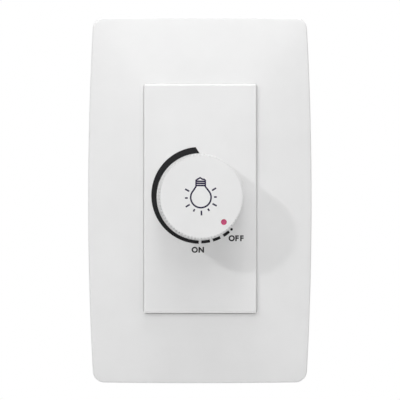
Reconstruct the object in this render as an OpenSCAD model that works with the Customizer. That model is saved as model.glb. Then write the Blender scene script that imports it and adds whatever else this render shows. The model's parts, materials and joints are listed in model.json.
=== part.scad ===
// Rotary dimmer switch with a vertical wall plate.
// +X right, +Z up, the front faces -Y. The origin is the middle of the box screws in the wall plane.

/* [Cover plate] */
// Width of the plate across its bowed middle
plate_w = 72; // [70:0.5:76]
// Height of the plate
plate_h = 118; // [116:0.5:122]
// Depth of the crown from the wall at the plate's middle
plate_d = 9; // [8.8:0.1:9.4]
// How much lower the front is at the plate's edge than at its middle
crown_drop = 2.8; // [2:0.1:3.2]
// How far each long side bulges past the corners
side_bow = 1.7; // [0.5:0.1:2.5]
// How far each short side bulges past the corners
end_bow = 0.3; // [0.1:0.1:1]
// Radius of the plate's corners seen from the front
plate_corner_r = 3.8; // [3:0.1:6]
// Radius of the rolled front edge
edge_roll_r = 1.3; // [0.8:0.1:1.6]
// Wall thickness of the cover plate
plate_wall = 2; // [1.6:0.1:2.2]

/* [Module face] */
// Width of the raised panel
panel_w = 36.3; // [36:0.1:38]
// Height of the raised panel
panel_h = 73.5; // [72:0.5:74]
// Distance of the panel's front from the wall
panel_d = 9.4; // [9.2:0.1:10]
// Thickness of the panel's face
panel_wall = 2; // [1.6:0.1:2.4]
// Thickness of the skirt behind the panel's edge
skirt_wall = 1.5; // [1.2:0.1:1.6]
// Corner radius of the panel
panel_corner_r = 0.8; // [0.6:0.1:1.4]
// Bevel round the panel's front
panel_bevel = 0.35; // [0.3:0.05:0.8]
// Height of the panel's middle above the plate's middle
panel_up = 0.5; // [0:0.1:1]
// Gap between the panel and the cover's window
window_gap = 0.2; // [0.15:0.05:0.4]

/* [Knob] */
// Diameter over the knob's ribs
knob_dia = 27.3; // [26:0.1:28]
// Length of the knob from its lower edge to its face
knob_len = 13; // [12:0.5:15]
// Gap between the panel and the knob's lower edge
knob_gap = 0.5; // [0.4:0.1:1]
// Number of ribs round the knob
rib_count = 78; // [60:1:90]
// Depth of the grooves between the ribs
rib_depth = 0.5; // [0.3:0.05:0.6]
// Radius of the knob's front edge
knob_edge_r = 0.3; // [0.2:0.1:1]
// Wall thickness of the knob
knob_wall = 1.6; // [1.4:0.1:2]
// Height of the knob's axis above the plate's middle
knob_up = 1; // [0.5:0.1:1.5]
// Diameter of the red dot on the knob
dot_dia = 1.9; // [1.5:0.1:2.5]
// Distance of the red dot from the knob's axis
dot_reach = 10.8; // [10:0.1:11]
// Angle of the red dot from +X when the knob is off
off_angle = -48; // [-60:1:-40]

/* [Printed scale] */
// Inner radius of the brightness arc
arc_r = 14.05; // [14:0.05:14.5]
// Width of the arc at its thin end
arc_thin = 1; // [0.8:0.1:1.4]
// Width of the arc at its thick end
arc_thick = 2; // [1.6:0.1:2.2]
// How far the cut across the arc's thick end leans
arc_lean = 1.85; // [1.4:0.05:2]
// Mean radius of the dashes
dash_r = 14.5; // [14.5:0.1:14.8]
// Width of the dashes
dash_w = 0.9; // [0.6:0.1:1]
// Thickness of the ink layer
ink_t = 0.08; // [0.05:0.01:0.15]

/* [Carrier and back] */
// How far the mounting frame stays inside the plate's long sides
frame_edge = 6; // [5:0.1:7]
// How far the mounting frame stays inside the plate's short sides
frame_end = 7; // [6:0.1:9]
// Thickness of the mounting frame
frame_t = 2.5; // [2.2:0.1:2.6]
// Distance between the two box screws
screw_pitch = 83.5; // [83:0.1:84]
// Nominal diameter of the box screws
box_screw_dia = 4; // [3.5:0.1:4]
// Length of the box screws under the head
box_screw_len = 25; // [20:1:40]
// How far the rear housing reaches behind the wall plane
housing_reach = 25; // [25:0.5:32]
// Wall thickness of the rear housing
housing_wall = 1.6; // [1.4:0.1:1.8]
// Thickness of the circuit board
board_t = 1.6; // [1.2:0.1:1.6]
// Distance of the circuit board's front behind the wall plane
board_y = 10.5; // [10.5:0.1:11]

/* [Potentiometer] */
// Diameter of the shaft
shaft_dia = 6; // [5.8:0.05:6]
// Radial running clearance of the shaft
shaft_play = 0.05; // [0.02:0.01:0.08]
// Outer diameter of the threaded bushing
bushing_dia = 7.2; // [7.2:0.1:7.6]
// Diameter of the potentiometer's can
can_dia = 17; // [17:0.1:18]

/* [Hidden] */
$fn = 64;
// Overrun of every cut
over = 0.5;
// Running gap between pieces that pass each other
gap = 0.3;
// Gap between moulded pieces that slide into each other
slip = 0.15;
// Sunk overlap where two shapes of one moulding meet
sink = 0.3;
// Gap between parts that rest on each other
seat_gap = 0.05;

// Outline of the cover plate: three tangent arcs in each quarter
half_w = plate_w / 2;
half_h = plate_h / 2;
side_r = (half_h * half_h + side_bow * side_bow) / (2 * side_bow);
end_r = (half_w * half_w + end_bow * end_bow) / (2 * end_bow);
side_c = half_w - side_r;
end_c = half_h - end_r;
corner_x0 = half_w - side_bow - plate_corner_r;
corner_z = end_c + sqrt(pow(end_r - plate_corner_r, 2) - pow(corner_x0, 2));
corner_x = side_c + sqrt(pow(side_r - plate_corner_r, 2) - pow(corner_z, 2));
corner_a0 = atan2(corner_z, corner_x - side_c);
corner_a1 = atan2(corner_z - end_c, corner_x);
side_steps = 5;
corner_steps = 6;
end_steps = 3;
roll_steps = 4;
// The crown's diagonal ridge runs through the middle of each corner
ridge_x = corner_x + plate_corner_r / sqrt(2);
ridge_z = corner_z + plate_corner_r / sqrt(2);
// Power of the blend between the two crowns: the higher, the sharper their diagonal ridges
blend_power = 5;
// Where the crown's outer and inner surfaces carry a ring of points
crown_shares = [0.93, 0.85, 0.76, 0.66, 0.56, 0.45, 0.3, 0.12];
inner_shares = [0.8, 0.62, 0.45, 0.2];

// Module
front_y = -panel_d;
panel_back_y = front_y + panel_wall;
skirt_end_y = -0.5;
flange_w = 2.4;
flange_t = 1.5;
flange_h = 60;
tongue_w = 8;
tongue_at = 22;
tongue_reach = 2;
tongue_nib = 0.8;
lug_at = 11;
lug_w = 6;
lug_nib = 0.9;
lug_l = 1.8;
lug_y = -3.4;
rib_z = 24;
rib_h = 2;

// Knob
knob_r = knob_dia / 2;
knob_back_y = front_y - knob_gap;
knob_face_y = knob_back_y - knob_len;
knob_face_t = 2;
hub_r = 5.2;
hub_end_y = -14.8;
hub_clear = 0.4;
web_t = 1;
web_count = 6;
web_end_y = -15.5;
flat_share = 0.5;
spring_t = 0.3;
dot_depth = 0.25;
spring_half_w = 1.8;
// Where each rib's crest and groove begin and end in one pitch
rib_shares = [0, 0.42, 0.56, 0.86];

// Printed scale: the angle from +X of each dash's two ends, and of the off dot
dash_spans = [[-88.6, -77.6], [-73.6, -63.8], [-59.2, -50.2]];
end_dot_angle = -46;
end_dot_share = 0.46;
// Distance of the arc's thin end from the axis, seen from the front
arc_foot = 0.5;

// Potentiometer and its switch, from the front to the back
shaft_r = shaft_dia / 2;
shaft_front_y = knob_face_y + knob_face_t + gap;
bushing_r = bushing_dia / 2;
bushing_front_y = hub_end_y + hub_clear;
flange_r = 8.2;
plate_t = 1;
washer_t = 0.5;
nut_t = 2;
nut_af = 10.4;
nut_face_r = 5.45;
washer_r = 5.6;
washer_teeth = 16;
washer_tooth = 0.6;
can_r = can_dia / 2;
can_wall = 0.5;
can_front_y = panel_back_y + plate_t;
wafer_t = 1.2;
can_end_y = -0.6;
wafer_back_y = can_front_y + wafer_t;
track_t = 0.1;
track_r = 6;
track_w = 2;
wiper_t = 0.3;
wiper_lift = 0.4;
wiper_w = 1.4;
wiper_spread = 12;
track_gap = 60;
rotor_t = 1.8;
rotor_y = wafer_back_y + track_t + wiper_lift + wiper_t + seat_gap;
rotor_r = 6.9;
// Lug on the rotor's rim and the two folded tabs of the can that stop it
stop_turn = 225;
stop_w = 16;
stop_rest = 150;
stop_clear = 3;
stop_reach = 0.8;
tongue_r = 2;
cup_end_y = 6.6;
cup_r = 8.2;
cup_wall = 1;
cam_t = 2.4;
cam_y = 1.4;
cam_r = 3.2;
lobe_r = 1.2;
lobe_out = 3.9;
base_t = 1.8;
pin_w = 1;
pin_t = 0.4;
lug_leg = 1.4;
contact_r = 0.7;
contact_t = 0.4;
lug_pitch = 4;
tail_l = 1.8;
lug_row_z = knob_up - can_r - tail_l;
solder_l = 0.7;
pin_end_y = board_y + board_t + solder_l;

// Board and rear housing
housing_w = panel_w - 2 * skirt_wall - 2 * slip;
housing_h = panel_h - 2 * skirt_wall - 2 * slip;
housing_front_y = -5;
housing_back_t = 1.8;
housing_in_w = housing_w - 2 * housing_wall;
housing_in_h = housing_h - 2 * housing_wall;
board_w = housing_in_w - 2 * gap;
board_h = housing_in_h - 2 * gap;
board_back_y = board_y + board_t;
post_r = 2.6;
post_edge_x = 4.1;
post_edge_z = 3.9;
post_x = housing_in_w / 2 - post_edge_x;
post_z = housing_in_h / 2 - post_edge_z;
board_screw_r = 1;
board_hole_r = 1.3;
board_screw_len = 8;
vent_count = 6;
vent_w = 1.6;
vent_l = 12;
vent_pitch = 3.4;
vent_z = 16;
vent_gap = 3;
ledge_w = 1.2;
ledge_shares = [-0.12, 0.14];

// Inner faces of the housing's top and bottom walls
roof_z = panel_up + housing_in_h / 2;
floor_z = panel_up - housing_in_h / 2;

// Terminals
clamp_x = 5;
clamp_w = 6;
clamp_l = 10.2;
clamp_h = 8.5;
clamp_cap = 1.2;
clamp_lift = 6;
clamp_top_z = floor_z + clamp_lift + clamp_h;
wire_r = 1.7;
wire_z = clamp_top_z - clamp_cap - wire_r;
entry_r = 2.1;
access_r = 3.1;
set_screw_r = 1.45;
set_hole_r = 1.5;
set_head_r = 2.4;
set_head_t = 1.8;
set_lift = 2;
clamp_floor = 1.5;
clamp_mid_y = board_back_y + gap + clamp_l / 2;

// Power parts on the front of the board
choke_r = 5.4;
core_r = 2.3;
turn_r = 2.8;
wire_t = 0.38;
turn_count = 18;
choke_lead_r = 0.46;
turn_step = 18;
choke_out_r = choke_r + turn_r + wire_t;
choke_y = board_y - turn_r - wire_t - seat_gap;
film_size = [6, 11, 13];
film_down = 1;
timing_size = [7, 7.5, 3.4];
timing_edge = 1.2;
timing_gap = 1.3;
// The choke and the film capacitor share the housing's width: gaps at the -X wall and at the +X wall
spare_w = housing_in_w - 2 * choke_out_r - film_size[0];
spare_shares = [0.08, 0.35];
choke_x = choke_out_r - housing_in_w / 2 + spare_w * spare_shares[0];
film_x = housing_in_w / 2 - film_size[0] / 2 - spare_w * spare_shares[1];
timing_z = roof_z - timing_edge - timing_size[2] / 2;
choke_z = timing_z - timing_size[2] / 2 - timing_gap - choke_out_r;
film_z = choke_z - film_down;
lead_r = 0.35;
lead_hole_r = 0.6;
sink_edge = 2.1;
sink_w = board_w - 2 * sink_edge;
sink_t = 1.5;
sink_front_y = -5.9;
sink_leg = 8;
sink_leg_t = 1.2;
triac_w = 10;
triac_h = 4.4;
triac_l = 9;
triac_lift = 1.2;
tab_t = 1.3;
tab_hole_r = 1.8;
tab_hole_y = -3.1;
sink_screw_r = 1.5;
sink_screw_head_r = 2.7;
sink_screw_head_t = 1.8;
sink_nut_af = 5.5;
sink_nut_t = 2.2;
sink_stub = 0.5;
resistor_edge = 2.9;
resistor_x = housing_in_w / 2 - resistor_edge;
resistor_l = 6.3;
resistor_r = 1.1;
resistor_zs = [-4.8, 6];
diac_r = 0.95;
diac_l = 4.2;
resistor_span = 8.8;
diac_span = 9;
fuse_y = 6.3;
fuse_l = 20;
fuse_r = 2.6;
fuse_lift = 8;
fuse_z = floor_z + fuse_lift;
fuse_cap_l = 5;
fuse_cap_t = 0.2;
clip_w = 3.6;
clip_t = 0.4;
clip_x = 8;
clip_lead_share = 0.6;
sink_lift = 3.5;
sink_low_z = fuse_z + sink_lift;
sink_top_z = sink_low_z + sink_t + sink_leg;

// Places of the leads through the board
choke_lead_a = 180 - turn_step * (turn_count - 1) / 2;
choke_lead_at = (choke_r + turn_r) * [cos(choke_lead_a), sin(choke_lead_a)];
choke_leads = [for (k = [-1, 1]) [choke_x + choke_lead_at[0], choke_z + k * choke_lead_at[1]]];
film_leads = [for (k = [-1, 1]) [film_x, film_z + k * film_size[2] / 3]];
timing_leads = [for (k = [-1, 1]) [k * timing_size[0] / 3, timing_z]];
triac_z = sink_top_z - sink_t - triac_h / 2;
triac_leads = [for (k = [-1, 0, 1]) [k * triac_w / 4, triac_z - tab_t / 2]];
resistor_leads = [for (z = resistor_zs, k = [-1, 1]) [resistor_x, z + k * resistor_span / 2]];
diac_leads = [for (k = [-1, 1]) [-resistor_x, knob_up + k * diac_span / 2]];
clip_leads = [for (k = [-1, 1]) [k * (clip_x + pin_w * clip_lead_share), fuse_z]];
clamp_leads = [for (k = [-1, 1]) [k * clamp_x, wire_z]];

// Mounting frame
frame_w = plate_w - 2 * frame_edge;
frame_h = plate_h - 2 * frame_end;
frame_corner_r = 3;
slot_l = 8;
ring_in = 2;
ring_t = 1.2;
ring_y = -4;
catch_at = 28;
catch_w = 10;
catch_in = 0.9;
catch_t = 1.3;
tie_x = 22;
tie_z = 40;
window_w = panel_w + 2 * window_gap;
window_h = panel_h + 2 * window_gap;
frame_window_w = panel_w + 2 * slip;
frame_window_h = panel_h + 2 * gap;
window_corner_r = panel_corner_r + window_gap;

// Snap claws of the cover
claw_w = 8;
claw_t = 1.6;
claw_end_y = -0.4;
claw_nib = 1;
claw_nib_t = 0.7;
rim_t = 1.2;
rim_l = 58;
gusset_x = frame_w / 2 + gap;
gusset_end_x = half_w - side_bow;
gusset_end_y = -1;
gusset_shares = [-0.72, -0.2, 0.18, 0.7];

// Box screws
box_screw_r = box_screw_dia / 2;
neck_share = 0.88;
box_head_r = 3.7;
box_head_t = 2.3;
recess_w = 0.9;
recess_share = 0.6;

// Height of the crowned front over the wall plane: two cylindrical crowns that blend along the diagonals
function crown(p) = plate_d - crown_drop * pow(
    pow(p[0] / ridge_x, 2 * blend_power) + pow(p[1] / ridge_z, 2 * blend_power), 1 / blend_power);
function arc_pt(cx, cz, r, a) = [cx + r * cos(a), cz + r * sin(a)];

// One quarter of the outline, moved in by d: side arc, corner arc, end arc
function quarter(d) = concat(
    [for (i = [0:side_steps - 1]) arc_pt(side_c, 0, side_r - d, corner_a0 * i / side_steps)],
    [for (i = [0:corner_steps - 1])
        arc_pt(corner_x, corner_z, plate_corner_r - d,
            corner_a0 + (corner_a1 - corner_a0) * i / corner_steps)],
    [for (i = [0:end_steps - 1]) arc_pt(0, end_c, end_r - d, corner_a1 + (90 - corner_a1) * i / end_steps)]
);
function upper_half(q, d) = concat(q, [[0, half_h - d]], [for (i = [len(q) - 1:-1:1]) [-q[i][0], q[i][1]]]);
function outline(d) = let (h = upper_half(quarter(d), d)) concat(h, [for (p = h) -p]);
function ring_3d(pts, h) = [for (i = [0:len(pts) - 1]) [pts[i][0], -h[i], pts[i][1]]];
function crown_ring(pts, drop) = ring_3d(pts, [for (p = pts) crown(p) - drop]);

// Two triangles for each side of the band between ring a and ring b, each of n points
function band(a, b, n) = [for (i = [0:n - 1]) let (j = (i + 1) % n)
    for (t = [[a * n + i, b * n + i, b * n + j], [a * n + i, b * n + j, a * n + j]]) t];
function fan(a, tip, n) = [for (i = [0:n - 1]) [a * n + i, tip, a * n + (i + 1) % n]];

module slab(y0, y1) {
    translate([0, y1, 0]) rotate([90, 0, 0]) linear_extrude(height = y1 - y0) children();
}

module rod(r, y0, y1) {
    translate([0, y1, 0]) rotate([90, 0, 0]) cylinder(r = r, h = y1 - y0);
}

module block(x, y, z) {
    translate([x[0], y[0], z[0]]) cube([x[1] - x[0], y[1] - y[0], z[1] - z[0]]);
}

module at(x, z) {
    translate([x, 0, z]) children();
}

module both_sides() {
    children();
    mirror([1, 0, 0]) children();
}

// A profile drawn as radius and height towards the front, turned round the Y axis
module lathe() {
    rotate([90, 0, 0]) rotate_extrude() children();
}

module round_rect(w, h, r) {
    square([w, h - 2 * r], center = true);
    square([w - 2 * r, h], center = true);
    for (x = [-1, 1], z = [-1, 1]) translate([x * (w / 2 - r), z * (h / 2 - r)]) circle(r);
}

module slot_shape(l, w) {
    square([l - w, w], center = true);
    for (x = [-1, 1]) translate([x * (l - w) / 2, 0]) circle(w / 2);
}

// The crowned shell as one loft of rings, hollow behind
module crowned_shell() {
    edge = outline(0);
    rolled = [for (k = [1:roll_steps]) let (a = 90 * k / roll_steps)
        crown_ring(outline(edge_roll_r * (1 - cos(a))), edge_roll_r * (1 - sin(a)))];
    crowned = [for (s = crown_shares) crown_ring(outline(edge_roll_r) * s, 0)];
    tub = outline(plate_wall);
    hollow = [for (s = inner_shares) crown_ring(tub * s, plate_wall)];
    front = concat([ring_3d(edge, [for (p = edge) 0]), crown_ring(edge, edge_roll_r)], rolled, crowned);
    rear = concat([ring_3d(tub, [for (p = tub) 0]), crown_ring(tub, plate_wall)], hollow);
    rings = concat(front, rear);
    n = len(edge);
    nf = len(front);
    nr = len(rings);
    points = concat([for (r = rings, p = r) p], [[0, -plate_d, 0], [0, plate_wall - plate_d, 0]]);
    polyhedron(points, concat(
        [for (k = [0:nf - 2]) each band(k, k + 1, n)],
        fan(nf - 1, nr * n, n),
        [for (k = [nf:nr - 2]) each band(k + 1, k, n)],
        [for (t = fan(nr - 1, nr * n + 1, n)) [t[2], t[1], t[0]]],
        band(nf, 0, n)
    ));
}

// Arm and nib of one snap claw, on the +X side of the cover
module claw() {
    arm_x = frame_w / 2 + gap;
    root_y = plate_wall / 2 - crown([arm_x + claw_t, catch_at]);
    at(0, -claw_w / 2) linear_extrude(height = claw_w) polygon([
        [arm_x, root_y], [arm_x + claw_t, root_y], [arm_x + claw_t, claw_end_y], [arm_x, claw_end_y],
        [arm_x - claw_nib, claw_end_y - claw_nib_t / 2], [arm_x - claw_nib, claw_end_y - claw_nib_t],
        [arm_x, claw_end_y - claw_nib_t]
    ]);
}

module cover_plate() {
    rim_y = ring_y - gap;
    color("white") {
        difference() {
            crowned_shell();
            at(0, panel_up) slab(-plate_d - over, over) round_rect(window_w, window_h, window_corner_r);
        }
        both_sides() {
            for (z = [-catch_at, catch_at]) at(0, z) claw();
            // Stiffening rim along the long sides of the window
            block([window_w / 2, window_w / 2 + rim_t], [plate_wall - crown([window_w / 2, 0]) - sink, rim_y],
                [panel_up - rim_l / 2, panel_up + rim_l / 2]);
            // Gussets between the side wall and the crown
            for (z = gusset_shares * half_h)
                block([gusset_x, gusset_end_x], [plate_wall - crown([gusset_x, z]) - sink, gusset_end_y],
                    [z, z + rim_t]);
        }
    }
}

module panel_form(inset, y0, y1, bevel) {
    w = panel_w / 2 - inset;
    h = panel_h / 2 - inset;
    intersection() {
        slab(y0, y1) round_rect(2 * w, 2 * h, max(panel_corner_r - inset, sink));
        at(0, -h) linear_extrude(height = 2 * h)
            polygon([[-w, y1], [-w, y0 + bevel], [bevel - w, y0], [w - bevel, y0], [w, y0 + bevel], [w, y1]]);
        translate([-w, 0, 0]) rotate([90, 0, 90]) linear_extrude(height = 2 * w)
            polygon([[y1, -h], [y0 + bevel, -h], [y0, bevel - h], [y0, h - bevel], [y0 + bevel, h], [y1, h]]);
    }
}

// Tongue that snaps behind the mounting frame, on the +X side
module frame_tongue() {
    x = panel_w / 2;
    at(0, -tongue_w / 2) linear_extrude(height = tongue_w) polygon([
        [x - skirt_wall, skirt_end_y - sink], [x, skirt_end_y - sink], [x, slip],
        [x + tongue_nib, slip], [x + tongue_nib, slip + tongue_nib / 2], [x, tongue_reach],
        [x - skirt_wall, tongue_reach]
    ]);
}

module front_panel() {
    in_w = panel_w - 2 * skirt_wall;
    in_h = panel_h - 2 * skirt_wall;
    color("white") at(0, panel_up) {
        difference() {
            panel_form(0, front_y, skirt_end_y, panel_bevel);
            slab(panel_back_y, skirt_end_y + over) square([in_w, in_h], center = true);
            at(0, knob_up - panel_up) rod(bushing_r + slip, front_y - over, panel_back_y + over);
            // Windows of the skirt for the rear housing's snap lugs
            for (z = [-lug_at, lug_at])
                block([-panel_w, panel_w], [lug_y - gap, lug_y + lug_l + slip],
                    [z - lug_w / 2 - gap, z + lug_w / 2 + gap]);
        }
        both_sides() {
            block([panel_w / 2 - sink, panel_w / 2 + flange_w], [-frame_t - flange_t, -frame_t],
                [-flange_h / 2, flange_h / 2]);
            for (z = [-tongue_at, tongue_at]) at(0, z) frame_tongue();
            // Stiffening ribs on the back of the face
            for (z = [-1, 1] * rib_z)
                block([0, in_w / 2 + sink], [panel_back_y - sink, panel_back_y + rib_h], [z, z + web_t]);
        }
    }
}

module mounting_frame() {
    ring_w = frame_w - 2 * ring_in;
    ring_h = frame_h - 2 * ring_in;
    color("ivory") difference() {
        union() {
            slab(-frame_t, 0) round_rect(frame_w, frame_h, frame_corner_r);
            slab(ring_y, -frame_t + sink) difference() {
                square([ring_w, ring_h], center = true);
                square([ring_w - 2 * ring_t, ring_h - 2 * ring_t], center = true);
            }
            // Cross ribs that tie the ring to the window's corners
            for (x = [-1, 1], z = [-1, 1])
                block([x * tie_x - ring_t / 2, x * tie_x + ring_t / 2], [ring_y, -frame_t + sink],
                    z > 0 ? [tie_z, frame_h / 2 - ring_in - sink] : [ring_in + sink - frame_h / 2, -tie_z]);
        }
        at(0, panel_up) slab(-frame_t - over, over) square([frame_window_w, frame_window_h], center = true);
        for (z = [-1, 1] * screw_pitch / 2)
            at(0, z) slab(-frame_t - over, over) slot_shape(slot_l, box_screw_dia + gap);
        // Rebates under which the cover's claws snap
        both_sides() for (z = [-catch_at, catch_at])
            block([frame_w / 2 - catch_in, frame_w / 2 + over], [-catch_t, over],
                [z - catch_w / 2, z + catch_w / 2]);
    }
}

// Ramped lug that clicks into a window of the skirt, on the +X side
module snap_lug() {
    x = housing_w / 2;
    at(0, -lug_w / 2) linear_extrude(height = lug_w)
        polygon([[x - sink, lug_y], [x, lug_y], [x + lug_nib, lug_y + lug_l], [x - sink, lug_y + lug_l]]);
}

module rear_housing() {
    in_back_y = housing_reach - housing_back_t;
    in_x = housing_in_w / 2;
    pocket_y = [board_back_y + gap, in_back_y + sink];
    wall_z = [clamp_top_z + slip, clamp_top_z + slip + housing_wall];
    color("gainsboro") difference() {
        union() {
            at(0, panel_up) difference() {
                slab(housing_front_y, housing_reach) round_rect(housing_w, housing_h, panel_corner_r);
                slab(housing_front_y - over, in_back_y) square([housing_in_w, housing_in_h], center = true);
            }
            at(0, panel_up) both_sides() {
                for (z = [-lug_at, lug_at]) at(0, z) snap_lug();
                // Ledges that the circuit board rests on
                for (z = ledge_shares * board_h)
                    block([in_x - ledge_w, in_x + sink], [board_back_y, in_back_y + sink], [z, z + ledge_w]);
                for (z = [-post_z, post_z]) at(post_x, z) rod(post_r, board_back_y, in_back_y + sink);
            }
            // Pocket walls round the terminals
            block([-in_x - sink, in_x + sink], pocket_y, wall_z);
            block([-housing_wall / 2, housing_wall / 2], pocket_y, [floor_z - sink, wall_z[0] + sink]);
        }
        for (x = [-clamp_x, clamp_x]) {
            at(x, wire_z) rod(entry_r, in_back_y - over, housing_reach + over);
            translate([x, clamp_mid_y, floor_z - housing_wall - over])
                cylinder(r = access_r, h = housing_wall + 2 * over);
        }
        at(0, panel_up) {
            for (x = [-post_x, post_x], z = [-post_z, post_z])
                at(x, z) rod(board_screw_r - slip, board_back_y - over, board_back_y + board_screw_len);
            // Vents behind the power parts, in two rows
            for (i = [0:vent_count - 1], z = [0, vent_l + vent_gap])
                at((i - (vent_count - 1) / 2) * vent_pitch, vent_z - vent_l + z)
                    slab(in_back_y - over, housing_reach + over) rotate(90) slot_shape(vent_l, vent_w);
        }
    }
}

// Cross recess for a driver, cut into a head whose face is at the origin and looks along -Y
module cross_recess(l, w, d) {
    for (a = [0, 90]) rotate([0, a, 0]) block([-l / 2, l / 2], [-over, d], [-w / 2, w / 2]);
}

module box_screws() {
    neck_r = box_screw_r * neck_share;
    tip_y = box_screw_len - frame_t;
    color("silver") for (z = [-1, 1] * screw_pitch / 2) at(0, z) difference() {
        // Plain neck inside the frame, full thread behind it
        lathe() polygon([
            [0, -tip_y], [box_screw_r, -tip_y], [box_screw_r, 0], [neck_r, 0],
            [neck_r, frame_t], [box_head_r, frame_t], [box_head_r, frame_t + box_head_t / 2],
            [box_head_r - box_head_t / 4, frame_t + box_head_t], [0, frame_t + box_head_t]
        ]);
        translate([0, -frame_t - box_head_t, 0])
            cross_recess(box_head_r, recess_w, box_head_t * recess_share);
    }
}

// Cross-section of the knob's ribs: crest, flank, groove and flank in each pitch
module rib_profile() {
    step = 360 / rib_count;
    polygon([for (i = [0:rib_count - 1], k = [0:3])
        let (r = knob_r - (k > 1 ? rib_depth : 0)) arc_pt(0, 0, r, step * (i + rib_shares[k]))]);
}

module knob() {
    skirt_r = knob_r - rib_depth - knob_wall;
    color("white") at(0, knob_up) difference() {
        intersection() {
            slab(knob_face_y, knob_back_y) rib_profile();
            lathe() {
                translate([0, -knob_back_y]) square([knob_r, knob_len - knob_edge_r]);
                translate([0, -knob_back_y]) square([knob_r - knob_edge_r, knob_len]);
                translate([knob_r - knob_edge_r, -knob_face_y - knob_edge_r]) circle(knob_edge_r);
            }
        }
        difference() {
            rod(skirt_r, knob_face_y + knob_face_t, knob_back_y + over);
            rod(hub_r, knob_face_y, hub_end_y);
            for (i = [0:web_count - 1]) rotate([0, 360 * i / web_count, 0])
                block([0, knob_r], [knob_face_y, web_end_y], [-web_t / 2, web_t / 2]);
        }
        // D bore of the hub, with room for the leaf spring at its flat
        intersection() {
            rod(shaft_r + slip, shaft_front_y - slip, hub_end_y + over);
            block([-knob_r, shaft_r * flat_share + spring_t + slip], [knob_face_y, 0], [-knob_r, knob_r]);
        }
        rotate([0, -off_angle, 0]) translate([dot_reach, 0, 0])
            rod(dot_dia / 2, knob_face_y - over, knob_face_y + dot_depth);
    }
}

module knob_dot() {
    color("crimson") at(0, knob_up) rotate([0, -off_angle, 0]) translate([dot_reach, 0, 0])
        rod(dot_dia / 2, knob_face_y, knob_face_y + dot_depth);
}

module knob_spring() {
    x = shaft_r * flat_share;
    color("silver") at(0, knob_up)
        block([x + slip / 2, x + slip / 2 + spring_t], [shaft_front_y, hub_end_y - gap],
            [-spring_half_w, spring_half_w]);
}

// Part of a ring between two depths and two angles from +X
module ring_part(r0, r1, y0, y1, a0, a1) {
    rotate([90, 0, 0]) rotate_extrude(start = a0, angle = a1 - a0)
        translate([r0, -y1]) square([r1 - r0, y1 - y0]);
}

// Part of a flat ring printed on the panel, between two angles from +X
module print_band(r, w, a0, a1) {
    ring_part(r - w / 2, r + w / 2, front_y - ink_t, front_y, a0, a1);
}

module scale_print() {
    // The arc lies between two circles whose centres differ, so it widens from the bottom to the top
    outer_r = arc_r + (arc_thin + arc_thick) / 2;
    rise = (arc_thick - arc_thin) / 2;
    color("dimgray") at(0, knob_up) {
        slab(front_y - ink_t, front_y) intersection() {
            difference() {
                translate([-rise / 3, rise]) circle(outer_r);
                circle(arc_r);
            }
            polygon([[-arc_foot, 0], [-slip, arc_r - slip], [-arc_lean, arc_r + arc_thick + over],
                [-2 * arc_r, 2 * arc_r], [-2 * arc_r, -2 * arc_r], [-arc_foot, -2 * arc_r]]);
        }
        for (a = dash_spans) print_band(dash_r, dash_w, a[0], a[1]);
        rotate([0, -end_dot_angle, 0]) translate([dash_r, 0, 0])
            rod(dash_w * end_dot_share, front_y - ink_t, front_y);
    }
}

module pot_shaft() {
    color("silver") at(0, knob_up) {
        difference() {
            rod(shaft_r, shaft_front_y, rotor_y - gap);
            // Flat of the D end inside the knob's hub
            block([shaft_r * flat_share, shaft_r + over], [shaft_front_y - over, hub_end_y],
                [-shaft_r, shaft_r]);
        }
        rod(tongue_r, rotor_y - gap - sink, cam_y + cam_t);
    }
}

module pot_bushing() {
    color("silver") at(0, knob_up) difference() {
        union() {
            rod(bushing_r, bushing_front_y, can_front_y);
            rod(flange_r, panel_back_y, can_front_y);
        }
        rod(shaft_r + shaft_play, bushing_front_y - over, can_front_y + over);
    }
}

module lock_washer() {
    step = 360 / washer_teeth;
    color("gray") at(0, knob_up) slab(front_y - washer_t, front_y) difference() {
        polygon([for (i = [0:washer_teeth - 1], k = [0:3])
            arc_pt(0, 0, washer_r - (k > 1 ? washer_tooth : 0), step * (i + k / 4))]);
        circle(bushing_r + slip);
    }
}

module bushing_nut() {
    color("silver") at(0, knob_up) difference() {
        intersection() {
            slab(front_y - washer_t - nut_t, front_y - washer_t) circle(nut_af / sqrt(3), $fn = 6);
            // Chamfered corners
            lathe() polygon([
                [0, panel_d + washer_t], [nut_af, panel_d + washer_t],
                [nut_face_r, panel_d + washer_t + nut_t], [0, panel_d + washer_t + nut_t]
            ]);
        }
        rod(bushing_r + shaft_play, front_y - washer_t - nut_t - over, front_y);
    }
}

module pot_wafer() {
    tail_w = 2 * lug_pitch + 4 * pin_w;
    color("saddlebrown") at(0, knob_up) slab(can_front_y, wafer_back_y) difference() {
        union() {
            circle(can_r - can_wall - slip);
            translate([-tail_w / 2, lug_row_z - knob_up - pin_t]) square([tail_w, can_r / 2]);
        }
        circle(shaft_r + gap);
    }
}

module resistor_track() {
    color("black") at(0, knob_up)
        ring_part(track_r - track_w / 2, track_r + track_w / 2, wafer_back_y, wafer_back_y + track_t,
            track_gap / 2 - 90, 270 - track_gap / 2);
}

module pot_lugs() {
    color("silver") for (x = [-lug_pitch, 0, lug_pitch]) {
        sides = [x - pin_w / 2, x + pin_w / 2];
        block(sides, [wafer_back_y, wafer_back_y + pin_t], [lug_row_z, lug_row_z + lug_leg]);
        block(sides, [wafer_back_y, pin_end_y], [lug_row_z, lug_row_z + pin_t]);
    }
}

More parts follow.
